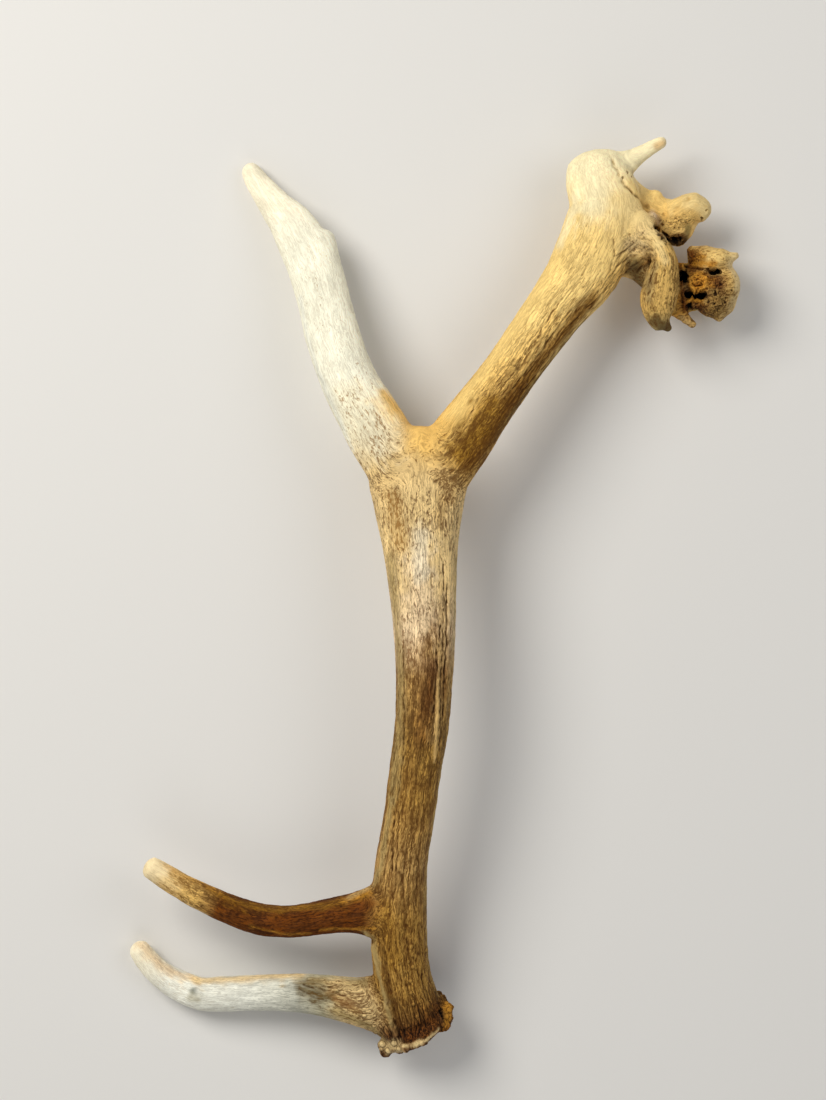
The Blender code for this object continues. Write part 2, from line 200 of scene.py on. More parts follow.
mainBeam = {
    "spine": [(-22, -446, 40, 32), (-27, -422, 51, 30), (-32, -400, 59, 30), (-36, -368, 68, 29),
              (-37, -319, 79, 28), (-34, -271, 88, 26), (-26, -224, 96, 26), (-20, -177, 102, 26),
              (-13, -130, 106, 26), (-10, -83, 108, 27), (-10, -37, 108, 28), (-12, 10, 106, 30),
              (-14, 57, 103, 32), (-15, 98, 100, 34), (-15, 128, 97, 32), (-15, 150, 94, 26)],
    "tones": [(0.0, "bark", "maroon", 0.58, 1.2), (0.08, "lowerBeam", "umber", 0.5, 1.1),
              (0.2, "lowerBeam", "umber", 0.56, 0.85), (0.3, "beamTan", "umber", 0.52, 0.7),
              (0.42, "lowerBeam", "umber", 0.56, 0.6), (0.52, "lowerBeam", "darkUmber", 0.6, 0.6),
              (0.62, "beamTan", "umber", 0.54, 0.5), (0.7, "roseTan", "beamBrown", 0.42, 0.35),
              (0.78, "sand", "umber", 0.36, 0.35), (0.86, "sand", "umber", 0.37, 0.35),
              (0.94, "sand", "umber", 0.37, 0.3), (1.0, "gold", "goldBrown", 0.3, 0.2)],
    "strokes": [
        ([(-45, 41, 119), (-40, -21, 120), (-35, -82, 122), (-38, -144, 120), (-43, -196, 117)], 8.0,
         "ashTan", "oliveBrown", 0.36, 0.6, 0, 0.8),
        ([(-45, -206, 116), (-49, -238, 110), (-55, -278, 104), (-66, -297, 92)], 4.2, "ashTan",
         "oliveBrown", 0.24, 0.35, 0, 0.8),
        ([(23, 41, 108), (17, -41, 115), (12, -103, 116), (4, -187, 106), (-3, -250, 95), (-8, -305, 86),
         (-7, -345, 78), (-3, -388, 66), (4, -415, 52)], 4.6, "ashTan", "oliveBrown", 0.3, 0.3, 0, 0.6),
        ([(-71, -346, 94), (-64, -364, 84), (-59, -384, 83), (-54, -402, 80), (-49, -424, 76),
         (-45, -442, 74), (-40, -455, 69)], 3.1, "ashTan", "oliveBrown", 0.1, 0.1, 0, 0.95),
        ([(-53, -364, 93), (-49, -391, 89), (-45, -418, 81), (-39, -442, 75)], 4.1, "oliveBrown", "umber",
         0.5, 0.8, 0, 0.7),
        ([(-36, -460, 66), (-23, -455, 71), (-10, -447, 72), (2, -433, 66)], 13.3, "bark", "maroon", 0.52,
         1.3, 0, 0.85),
        ([(-2, -28, 133), (-4, -84, 134), (-8, -112, 134), (-12, -140, 132)], 11.5, "beamBrown",
         "darkUmber", 0.5, 0.6, 0, 0.7),
        ([(2, -66, 132), (-2, -90, 133), (-5, -112, 132)], 6.5, "bark", "darkUmber", 0.55, 0.6, 0, 0.6),
        ([(-6, -34, 133), (-4, -52, 134)], 8.5, "beamTan", "umber", 0.62, 0.5, 0, 0.6),
        ([(10, 112, 119), (8, 90, 124), (6, 78, 126)], 7.0, "tan", "umber", 0.58, 0.5, 0, 0.75),
        ([(9, 12, 127), (9, -41, 129), (6, -103, 129), (2, -144, 127)], 6.1, "tan", "darkUmber", 0.5, 0.8,
         0, 0.7),
        # a brown stain on the beam's right flank, laid darker there as painted shade
        ([(10, -72, 127), (9, -100, 126)], 4.0, "beamBrown", "darkUmber", 0.5, 0.8, 0, 0.7),
        ([(4, -82, 131), (3, -108, 130), (2, -134, 128), (0, -167, 124)], 1.9, "tan", "umber", 0.15, 0.1, 0,
         0.75),
        ([(-17, 35, 132), (-15, 0, 134), (-17, -26, 134)], 13.0, "roseTan", "umber", 0.33, 0.4, 0, 0.85),
        ([(-14, 68, 128), (-16, 46, 131), (-14, 28, 133)], 9.2, "chalk", "umber", 0.33, 0.5, 0, 0.75),
        ([(-44, 106, 120), (-39, 82, 123), (-35, 59, 125)], 9.2, "tan", "goldBrown", 0.5, 0.2, 0, 0.7),
        ([(-30, 134, 119), (-16, 122, 122), (2, 122, 120)], 15.5, "sand", "umber", 0.26, 0.2, 0, 0.75),
        ([(8, 126, 118), (16, 115, 117), (16, 102, 117)], 9.5, "tan", "umber", 0.64, 0.5, 0, 0.78),
        ([(17, 92, 118), (13, 74, 120)], 6.0, "sand", "umber", 0.46, 0.8, 0, 0.75),
        ([(-43, 202, 98), (-28, 186, 94), (-10, 178, 102), (11, 188, 106), (21, 198, 107)], 15.3, "gold",
         "goldBrown", 0.12, 0.1, 0, 0.9),
        ([(-51, -316, 104), (-46, -348, 101), (-43, -374, 96)], 8.2, "oliveGold", "umber", 0.55, 0.6, 0,
         0.5),
        ([(-65, -350, 93), (-61, -365, 86), (-58, -378, 86)], 3.1, "ashTan", "oliveBrown", 0.15, 0.1, 0,
         0.6),
        # burr: left pearls, right pearls, the recess beside them, painted near black as its shade, and the
        # pale edge
        ([(-56, -467, 48), (-48, -475, 50), (-42, -467, 61), (-36, -472, 60)], 6.1, "pearlCream", "umber",
         0.2, 0, 0.15, 0.9),
        ([(15, -426, 54), (14, -437, 60), (11, -447, 60)], 5.1, "amberGold", "umber", 0.3, 0, 0.3, 0.9),
        ([(7, -434, 63), (7, -441, 65)], 3.1, "maroon", "maroon", 0.5, 0, 0, 0.9),
        ([(-32, -468, 67), (-20, -466, 72), (-7, -461, 73), (4, -451, 70)], 2.3, "pearlCream", "goldBrown",
         0.15, 0, 0, 0.9),
        ([(-32, -472, 58), (-20, -474, 54), (-7, -464, 58), (4, -456, 55)], 2.9, "pearlCream", "goldBrown",
         0.1, 0, 0, 0.95),
    ],
}

browTine = {
    "growsFrom": mainBeam,
    "spine": [(-37, -430, 50, 30), (-57, -427, 50, 27), (-78, -425, 49, 23), (-99, -422, 46, 21),
              (-129, -418, 41, 19), (-158, -417, 36, 18), (-190, -418, 31, 17),
              (-222, -420, 25, 16.5), (-245, -420, 20, 16), (-266, -415, 16, 15),
              (-285, -405, 13, 13.5), (-301, -391, 14, 12), (-312, -376, 16, 11)],
    "tones": [(0.0, "sand", "umber", 0.5, 0.6), (0.16, "sand", "umber", 0.48, 0.45),
              (0.26, "ashGrey", "oliveBrown", 0.3, 0.4), (0.36, "browGrey", "slate", 0.2, 0.35),
              (0.55, "browWhite", "browGrey", 0.2, 0.3), (0.85, "browWhite", "roseCream", 0.14, 0.25),
              (1.0, "warmCream", "roseCream", 0.08, 0.12)],
    "strokes": [
        ([(-312, -368, 23), (-301, -379, 25), (-285, -393, 23), (-254, -403, 27)], 5.6, "roseCream", "rose",
         0.12, 0.3, 0, 0.8),
        ([(-254, -403, 27), (-210, -403, 35), (-173, -399, 39), (-141, -397, 43)], 5.6, "sand", "rose",
         0.25, 0.35, 0, 0.8),
        ([(-131, -400, 51), (-104, -401, 54), (-78, -399, 54)], 5.1, "ashGrey", "oliveBrown", 0.3, 0.3, 0,
         0.8),
        ([(-128, -402, 53), (-109, -404, 57), (-88, -404, 60), (-74, -402, 61)], 6.0, "ashTan",
         "oliveBrown", 0.4, 0.4, 0, 0.85),
        ([(-134, -411, 56), (-118, -413, 60), (-104, -415, 62)], 9.2, "ashDark", "oliveBrown", 0.4, 0.4, 0,
         0.8),
        ([(-104, -405, 59), (-88, -417, 68), (-72, -430, 72), (-93, -423, 67)], 10.2, "sand", "umber", 0.55,
         0.35, 0, 0.75),
        ([(-106, -414, 62), (-96, -419, 66), (-86, -424, 68)], 5.1, "tan", "bark", 0.6, 0.3, 0, 0.6),
        ([(-141, -409, 55), (-122, -416, 61), (-105, -420, 65)], 1.5, "ashDark", "oliveBrown", 0.6, 0.5, 0,
         0.8),
        ([(-128, -423, 59), (-113, -417, 63), (-99, -411, 64)], 1.5, "ashDark", "oliveBrown", 0.6, 0.5, 0,
         0.7),
        ([(-104, -420, 65), (-90, -426, 68), (-80, -434, 69)], 3.0, "tan", "bark", 0.66, 0.4, 0, 0.6),
        ([(-104, -433, 62), (-83, -441, 65), (-65, -450, 64), (-55, -460, 56)], 5.1, "ashTan", "oliveBrown",
         0.35, 0.3, 0, 0.8),
        ([(-255, -415, 34)], 3.5, "slate", "slate", 0.3, 0, 0, 0.8),
        ([(-258, -422, 33), (-250, -424, 35)], 3.1, "ashGrey", "slate", 0.5, 0, 0, 0.6),
    ],
}

bezTine = {
    "growsFrom": mainBeam,
    "spine": [(-36, -324, 80, 31), (-53, -326, 82, 27), (-69, -327, 82, 22), (-84, -328, 81, 19),
              (-101, -330, 78, 17), (-134, -336, 74, 15.7), (-156, -338, 70, 15.2),
              (-182, -336, 67, 15), (-209, -328, 65, 14.3), (-235, -317, 64, 13.5),
              (-261, -304, 65, 12.6), (-282, -291, 67, 11.6), (-297, -281, 69, 10.5)],
    "tones": [(0.0, "lowerBeam", "umber", 0.55, 0.7), (0.14, "amberDeep", "amberDark", 0.5, 0.6),
              (0.5, "amberDeep", "amberDark", 0.5, 0.5), (0.7, "amber", "amberDark", 0.5, 0.5),
              (0.8, "gold", "umber", 0.58, 0.45), (0.92, "tan", "goldBrown", 0.4, 0.3),
              (1.0, "bezTip", "goldBrown", 0.15, 0.1)],
    "strokes": [
        ([(-70, -305, 94), (-88, -312, 93), (-114, -318, 88), (-145, -322, 79), (-177, -323, 76),
         (-208, -315, 75), (-234, -304, 72)], 5.2, "oliveGold", "umber", 0.48, 0.5, 0, 0.75),
        ([(-62, -304, 90), (-76, -309, 92), (-94, -313, 92)], 4.1, "amberGold", "umber", 0.35, 0.35, 0,
         0.75),
        ([(-65, -315, 101), (-79, -320, 99), (-103, -327, 95)], 7.1, "amberDeep", "amberDark", 0.36, 0.6, 0,
         0.75),
        ([(-226, -306, 70), (-244, -296, 70), (-262, -286, 74), (-280, -276, 76)], 4.2, "amberGold",
         "umber", 0.45, 0.3, 0, 0.7),
        ([(-288, -287, 79), (-272, -301, 78)], 4.8, "sand", "goldBrown", 0.36, 0.2, 0, 0.8),
        ([(-260, -316, 72), (-250, -323, 69), (-239, -329, 69)], 2.2, "sand", "umber", 0.35, 0.2, 0, 0.75),
        ([(-192, -341, 79), (-156, -349, 81), (-129, -348, 85)], 1.6, "amberGold", "umber", 0.5, 0.4, 0,
         0.55),
        ([(-88, -310, 89), (-73, -303, 86), (-63, -291, 87)], 4.2, "tan", "umber", 0.4, 0.6, 0, 0.8),
        ([(-296, -278, 78), (-288, -283, 79)], 8.1, "bezTip", "goldBrown", 0.12, 0, 0, 0.85),
        ([(-62, -341, 100), (-88, -342, 93), (-119, -344, 88)], 1.7, "amberGold", "umber", 0.3, 0.3, 0,
         0.6),
    ],
}

forkTine = {
    "growsFrom": mainBeam,
    "spine": [(-20, 98, 99, 30), (-41, 143, 94, 27), (-57, 170, 90, 27), (-71, 195, 85, 27),
              (-85, 220, 79, 26), (-96, 246, 73, 25), (-107, 278, 65, 24), (-115, 310, 57, 23.5),
              (-122, 336, 50, 23), (-131, 360, 43, 21), (-142, 381, 38, 20), (-153, 399, 31, 18),
              (-166, 414, 25, 15), (-179, 431, 19, 12.7), (-190, 446, 13, 11)],
    "tones": [(0.0, "tan", "umber", 0.48, 0.3), (0.13, "sand", "umber", 0.45, 0.25),
              (0.25, "cream", "goldBrown", 0.32, 0.15), (0.36, "ivory", "goldBrown", 0.16, 0.12),
              (0.5, "ivory", "goldBrown", 0.1, 0.1), (0.75, "ivory", "tan", 0.1, 0.08),
              (1.0, "warmCream", "roseCream", 0.1, 0.08)],
    "strokes": [
        ([(-141, 314, 65), (-123, 244, 81), (-98, 186, 94), (-84, 158, 96)], 4.1, "coolWhite", "ashGrey",
         0.1, 0.2, 0, 0.7),
        ([(-196, 455, 20), (-182, 431, 31), (-165, 411, 41)], 10.2, "warmCream", "roseCream", 0.08, 0.1, 0,
         0.8),
        ([(-128, 364, 62), (-121, 329, 73), (-113, 291, 84), (-107, 259, 91)], 4.1, "ivory", "goldBrown",
         0.26, 0.12, 0, 0.7),
        ([(-141, 361, 61), (-130, 281, 78), (-117, 239, 88)], 2.6, "ivory", "goldBrown", 0.22, 0.12, 0,
         0.6),
        ([(-88, 214, 103), (-72, 182, 110), (-58, 160, 114)], 12.3, "cream", "goldBrown", 0.42, 0.15, 0,
         0.7),
        ([(-52, 216, 96), (-40, 198, 99)], 3.4, "gold", "goldBrown", 0.25, 0.4, 0, 0.7),
    ],
}

upperBeam = {
    "growsFrom": mainBeam,
    "spine": [(-8, 98, 99, 30), (12, 143, 95, 28), (31, 170, 92, 28), (49, 195, 90, 27),
              (77, 233, 85, 26), (104, 271, 80, 27), (130, 307, 75, 28.5), (152, 336, 71, 32),
              (167, 364, 68, 33.5), (177, 389, 66, 34), (180, 414, 64, 32), (173, 438, 62, 29),
              (169, 455, 60, 24)],
    "tones": [(0.0, "tan", "umber", 0.5, 0.4), (0.16, "gold", "umber", 0.45, 0.45),
              (0.35, "gold", "umber", 0.42, 0.75), (0.52, "brightGold", "goldBrown", 0.28, 0.65),
              (0.78, "brightGold", "goldBrown", 0.18, 0.35), (0.9, "paleGold", "goldBrown", 0.08, 0.1),
              (1.0, "headCream", "gold", 0.05, 0.08)],
    "strokes": [
        ([(24, 201, 108), (47, 233, 102), (79, 278, 95), (108, 324, 88), (133, 375, 81), (147, 412, 78)],
         13.3, "brightGold", "gold", 0.12, 0.15, 0, 0.8),
        ([(37, 142, 113), (60, 173, 109), (87, 215, 105)], 15.5, "armBrown", "umber", 0.7, 0.5, 0, 0.96),
        ([(87, 215, 105), (115, 253, 99), (143, 288, 94), (165, 312, 90)], 9.0, "armBrown", "umber", 0.55,
         1.1, 0, 0.9),
        ([(24, 152, 118), (42, 173, 116), (59, 201, 114)], 12.0, "oliveGold", "umber", 0.52, 0.35, 0, 0.85),
        ([(70, 222, 110), (98, 258, 104), (124, 292, 99)], 7.0, "gold", "umber", 0.55, 0.9, 0, 0.75),
        # painted shade: the arm's right flank, darker as the side turned away from the light
        ([(49, 153, 100), (81, 195, 97), (118, 241, 88), (158, 289, 78)], 4.6, "shadedEdgeOlive", "umber", 0.5,
         0.4, 0, 0.9),
        ([(163, 450, 81), (168, 432, 87), (163, 412, 90)], 18.0, "headCream", "gold", 0.1, 0.08, 0, 0.85),
        ([(150, 424, 76), (142, 400, 78), (130, 372, 80)], 7.0, "headCream", "gold", 0.1, 0.1, 0, 0.7),
        ([(192, 414), (204, 405), (212, 397)], 8.0, "paleGold", "gold", 0.06, 0.08, 0, 0.8),
        ([(174, 377), (187, 366), (199, 373), (181, 354)], 13.0, "brightGold", "goldBrown", 0.22, 0.2, 0,
         0.6),
        ([(178, 322), (195, 341), (210, 356)], 9.0, "gold", "umber", 0.46, 1.0, 0, 0.75),
        ([(206, 368), (218, 371), (226, 364)], 11.0, "greyTan", "umber", 0.34, 0.5, 0, 0.9),
        # painted shade: the low wall between the valley and the lobe, darker as its shaded side
        ([(210, 350), (215, 341), (220, 330)], 6.5, "shadedWallBrown", "umber", 0.4, 0.3, 0, 0.9),
        ([(222, 396), (227, 385), (232, 377)], 5.0, "paleGold", "goldBrown", 0.2, 0.1, 0, 0.6),
        ([(229, 405), (233, 401), (236, 396)], 3.2, "lipRose", "bark", 0.35, 0.2, 0.2, 0.85),
    ],
}

crownSpike = {
    "growsFrom": upperBeam,
    "spine": [(188, 453, 54, 15), (200, 457, 56, 12), (212, 464, 58, 8.7), (224, 471, 60, 7),
              (233, 476, 62, 6), (239, 479, 63, 5.5)],
    "tones": [(0.0, "headCream", "cream", 0.12, 0.1), (1.0, "headCream", "gold", 0.15, 0.1)],
    "strokes": [
        ([(205, 458, 67), (221, 467, 67), (237, 477, 68)], 9.2, "headCream", "cream", 0.15, 0.1, 0, 0.85),
        ([(233, 475, 68), (239, 478, 68)], 3.6, "amberGold", "umber", 0.2, 0, 0, 0.55),
        ([(207, 434, 78), (213, 424, 74), (225, 419, 57)], 6.1, "brightGold", "goldBrown", 0.15, 0.1, 0,
         0.7),
    ],
}

crownKnob = {
    "growsFrom": upperBeam,
    "spine": [(188, 435, 48, 20), (204, 420, 47, 17), (223, 407, 45, 17), (240, 399, 44, 17),
              (255, 400, 46, 16), (263, 406, 52, 15), (273, 411, 55, 14), (282, 407, 53, 12)],
    "tones": [(0.0, "brightGold", "gold", 0.15, 0.1), (0.6, "gold", "goldBrown", 0.3, 0.1),
              (1.0, "paleGold", "gold", 0.2, 0.1)],
    "strokes": [
        ([(232, 429), (246, 419), (254, 416)], 10.0, "brightGold", "gold", 0.12, 0.1, 0, 0.85),
        ([(269, 419), (279, 416), (284, 406)], 11.0, "paleGold", "gold", 0.2, 0.1, 0, 0.9),
        ([(256, 402), (267, 402), (275, 400)], 6.0, "gold", "goldBrown", 0.4, 0, 0.25, 0.7),
        ([(244, 392), (254, 393), (265, 394)], 8.0, "spongePale", "sponge", 0.15, 0, 0.6, 0.94),
        ([(267, 390), (266, 377)], 3.0, "mossGrey", "oliveBrown", 0.3, 0, 0, 0.8),
        ([(240, 378), (250, 378), (259, 380)], 4.6, "rust", "spongeDark", 0.55, 0, 0.8, 0.9),
        ([(237, 379), (248, 374), (259, 374), (267, 372)], 4.0, "rust", "spongeDark", 0.5, 0, 0.8, 0.7),
        ([(245, 372), (255, 371), (262, 376)], 5.0, "spongeDark", "maroon", 0.6, 0, 0.6, 0.92),
        ([(232, 388), (235, 383)], 3.4, "maroon", "maroon", 0.5, 0, 0.2, 0.95),
    ],
}

crownCup = {
    "growsFrom": upperBeam,
    "spine": [(187, 359, 50, 20), (210, 353, 48, 16), (229, 344, 46, 18), (251, 330, 44, 21),
              (272, 328, 42, 22), (294, 333, 36, 31), (304, 333, 36, 29)],
    "tones": [(0.0, "sand", "umber", 0.4, 0.6), (0.3, "sand", "goldBrown", 0.25, 0.2),
              (0.6, "spongeGold", "sponge", 0.4, 0.1), (0.75, "lobeTan", "umber", 0.4, 0.05),
              (1.0, "pearlCream", "goldBrown", 0.3, 0)],
    "strokes": [
        # painted shade: the low wall between the valley and the lobe, darker as its shaded side
        ([(209, 346), (214, 339), (220, 331)], 7.0, "shadedWallBrown", "umber", 0.4, 0.3, 0, 0.9),
        ([(292, 352), (302, 339), (302, 314), (288, 301)], 19.0, "lobeTan", "umber", 0.54, 0, 0.2, 0.85),
        ([(283, 360), (296, 360), (309, 362)], 7.0, "brightGold", "goldBrown", 0.3, 0, 0.08, 0.9),
        ([(315, 360), (312, 350), (317, 335), (318, 321), (311, 309)], 4.5, "pearlCream", "goldBrown", 0.2,
         0, 0, 0.85),
        ([(308, 337), (310, 324)], 5.5, "lobeTan", "umber", 0.5, 0, 0.1, 0.7),
        ([(292, 316), (302, 311), (294, 301), (282, 299)], 10.0, "pebbleTan", "darkUmber", 0.5, 0, 0.5,
         0.85),
        ([(265, 346), (276, 334), (270, 314)], 13.0, "rust", "spongeDark", 0.42, 0, 0.6, 0.88),
        ([(273, 358), (281, 358)], 4.0, "amberGold", "sponge", 0.45, 0, 0.2, 0.85),
        ([(264, 361), (274, 359)], 7.0, "amberGold", "spongeDark", 0.66, 0, 0.35, 0.85),
        ([(263, 364), (270, 361), (269, 352)], 6.0, "sponge", "spongeDark", 0.5, 0, 0.45, 0.92),
        ([(275, 352), (284, 352), (293, 350)], 3.2, "amberGold", "sponge", 0.3, 0, 0.15, 0.8),
        ([(289, 336), (296, 334), (299, 329)], 6.5, "rust", "spongeDark", 0.5, 0, 0.75, 0.9),
        ([(269, 334), (276, 338), (284, 334), (279, 325), (271, 328)], 5.5, "spongeGold", "sponge", 0.42, 0,
         0.6, 0.94),
        # painted shade: the two deep holes in the broken crown are dark inside
        ([(262, 343), (261, 332), (264, 321)], 5.0, "spongeDark", "maroon", 0.6, 0, 0.3, 0.95),
        ([(266, 319), (274, 318), (283, 318)], 4.6, "spongeDark", "maroon", 0.6, 0, 0.3, 0.95),
        ([(267, 307), (274, 301), (279, 304)], 5.0, "rust", "maroon", 0.6, 0, 0.5, 0.9),
        ([(267, 313), (274, 315), (281, 314)], 2.8, "amberGold", "sponge", 0.3, 0, 0.3, 0.9),
        ([(256, 354), (262, 350)], 3.5, "spongeGold", "sponge", 0.3, 0, 0.3, 0.85),
        ([(259, 331), (261, 322), (262, 312), (265, 301)], 2.4, "rust", "spongeDark", 0.4, 0, 0.4, 0.85),
        ([(261, 295), (269, 289), (275, 284)], 4.0, "tan", "umber", 0.45, 0, 0.1, 0.85),
    ],
}

crownLobe = {
    "growsFrom": upperBeam,
    "spine": [(182, 389, 66, 30), (201, 386, 69, 24), (215, 382, 73, 19), (226, 376, 77, 14),
              (235, 366, 79, 12.5), (240, 355, 79, 13), (240, 343, 77, 15), (238, 330, 75, 17),
              (235, 316, 73, 18), (234, 304, 71, 16), (235, 293, 69, 12), (237, 286, 67, 9)],
    "tones": [(0.0, "brightGold", "goldBrown", 0.25, 0.3), (0.3, "sand", "umber", 0.4, 0.4),
              (0.5, "lobeTan", "umber", 0.48, 0.35), (0.85, "lobeTan", "umber", 0.45, 0.3),
              (1.0, "ashTan", "oliveBrown", 0.3, 0.2)],
    "strokes": [
        ([(236, 366), (241, 351), (241, 330), (237, 309)], 13.0, "lobeTan", "umber", 0.42, 0.35, 0, 0.9),
        ([(232, 366), (237, 360), (240, 352)], 5.0, "paleGold", "umber", 0.36, 0.3, 0, 0.7),
        # painted shade along the lobe's left edge
        ([(229, 348), (225, 330), (223, 312)], 4.0, "ashTan", "umber", 0.5, 0.3, 0, 0.75),
        ([(231, 292), (238, 284), (248, 281)], 5.5, "mossGrey", "umber", 0.85, 0.4, 0, 0.9),
        ([(224, 381), (229, 377), (234, 371)], 4.0, "paleGold", "goldBrown", 0.25, 0.1, 0, 0.6),
    ],
}

boneBranches = [mainBeam, browTine, bezTine, forkTine, upperBeam, crownSpike, crownKnob, crownCup,
                crownLobe]

boneForks = {
    "takesOver": 48,       # mm from its root at which a branch's own grain is alone
    "holdBack": 0.55,      # how much the thicker bone keeps its grain past the root
    "parting": 6.5,        # a higher value parts the branches more sharply
    "knit": (0.16, 0.48),  # how mixed a place is where its grain starts to tangle and where it has
}


def spineRun(spine, step=3.0):
    # even samples along a smooth line through the stations
    stations = np.array(spine, float)
    knots = np.concatenate([[0], np.cumsum(np.linalg.norm(np.diff(stations[:, :3], axis=0), axis=1))])
    slopes = np.gradient(stations, knots, axis=0)
    along = np.linspace(0, knots[-1], max(3, int(knots[-1] / step) + 1))
    k = np.clip(np.searchsorted(knots, along, side="right") - 1, 0, len(knots) - 2)
    gap = (knots[k + 1] - knots[k])[:, None]
    t = ((along - knots[k]) / gap[:, 0])[:, None]
    run = ((2 * t**3 - 3 * t**2 + 1) * stations[k] + (t**3 - 2 * t**2 + t) * gap * slopes[k]
           + (-2 * t**3 + 3 * t**2) * stations[k + 1] + (t**3 - t**2) * gap * slopes[k + 1])
    heading = np.gradient(run[:, :3], axis=0)
    heading /= np.linalg.norm(heading, axis=1)[:, None]
    side = np.cross(heading, (0, 0, 1))
    side /= np.linalg.norm(side, axis=1)[:, None]
    return along, run, heading, side, np.cross(side, heading)


def followSpine(points, spine):
    # how far out each point is in half thicknesses, and its place across, up and along the branch
    along, run, heading, side, up = spineRun(spine)
    nearest = np.empty(len(points), int)
    centres = run[:, :3].astype(np.float32)
    atOnce = 20000
    for start in range(0, len(points), atOnce):
        block = points[start:start + atOnce].astype(np.float32)
        gaps = (block**2).sum(1)[:, None] - 2 * block @ centres.T + (centres**2).sum(1)[None]
        nearest[start:start + atOnce] = gaps.argmin(1)
    place = along[nearest] + ((points - run[nearest, :3]) * heading[nearest]).sum(1)
    inside = np.clip(place, 0, along[-1])
    k = np.clip((inside / along[1]).astype(int), 0, len(along) - 2)
    t = (inside / along[1] - k)[:, None]
    centre = run[k] * (1 - t) + run[k + 1] * t
    away = points - centre[:, :3]
    acrossAxis = side[k] * (1 - t) + side[k + 1] * t
    upAxis = up[k] * (1 - t) + up[k + 1] * t
    reach = np.linalg.norm(away, axis=1) / centre[:, 3]
    place = np.stack([(away * acrossAxis).sum(1), (away * upAxis).sum(1), place], 1)
    return reach, place, inside / along[-1]


def rootPlace(branch):
    # where along the antler a branch starts, so that the grain runs on into it
    if "growsFrom" not in branch:
        return 0.0
    start = np.array([branch["spine"][0][:3]], float)
    return followSpine(start, branch["growsFrom"]["spine"])[1][0, 2] + rootPlace(branch["growsFrom"])


def blendBranches(points, branches, look):
    # how much of each branch a point is, and its place in the grain
    reaches, places, shares = zip(*(followSpine(points, b["spine"]) for b in branches))
    for reach, place, branch in zip(reaches, places, branches):
        if "growsFrom" in branch:
            reach += look["holdBack"] * smoothStep(look["takesOver"], 0, place[:, 2])
        place[:, 2] += rootPlace(branch)
    reaches = np.stack(reaches, 1)
    weights = np.exp(-look["parting"] * (reaches - reaches.min(1)[:, None]))
    weights /= weights.sum(1)[:, None]
    grain = sum(w[:, None] * p for w, p in zip(weights.T, places))
    knit = smoothStep(*look["knit"], 1 - weights.max(1))      # 1 where branches run together
    return weights, grain, shares, knit


def toneColumns(row):
    return [*boneTones[row[1]], *boneTones[row[2]], row[3], row[4]]


def baseTones(weights, shares, branches):
    # nine columns: ground colour, stain colour, flecking, grooves and, from strokes alone, sponginess
    paint = np.zeros((len(weights), 9))
    for weight, share, branch in zip(weights.T, shares, branches):
        stops = [row[0] for row in branch["tones"]]
        columns = np.array([toneColumns(row) for row in branch["tones"]])
        for k in range(8):
            paint[:, k] += weight * np.interp(share, stops, columns[:, k])
    return paint


def pathDistance(points, path):
    # straight distance from each point to a bent line
    path = np.array(path, float)
    if len(path) == 1:
        return np.linalg.norm(points - path[0], axis=1)
    best = np.full(len(points), 1e9)
    for a, b in zip(path[:-1], path[1:]):
        run = b - a
        t = np.clip(((points - a) @ run) / (run @ run), 0, 1)
        best = np.minimum(best, np.linalg.norm(points - a - t[:, None] * run, axis=1))
    return best


def upperSide(points, normals):
    # what faces up in the crown, above its underside
    return (normals[:, 2] > -0.1) & (points[:, 2] > 34)


def brushStrokes(points, normals, paint, branches, wander):
    # soft strokes of the real stains, and a few of painted shade on shaded sides and in holes; their edges
    # wander a little
    above = upperSide(points, normals)
    for branch in branches:
        for path, half, ground, stain, fleck, groove, sponge, strength in branch["strokes"]:
            flat = len(path[0])
            low = np.min(path, axis=0) - 3 * half
            high = np.max(path, axis=0) + 3 * half
            near = ((points[:, :flat] > low) & (points[:, :flat] < high)).all(1)
            near = np.flatnonzero(near & above if flat == 2 else near)
            gap = pathDistance(points[near, :flat], path) * (1 + 0.5 * wander[near])
            weight = (strength * np.exp(-(gap / (1.15 * half)) ** 2.4))[:, None]
            target = np.array([*boneTones[ground], *boneTones[stain], fleck, groove, sponge])
            paint[near] = paint[near] * (1 - weight) + target * weight
    return paint


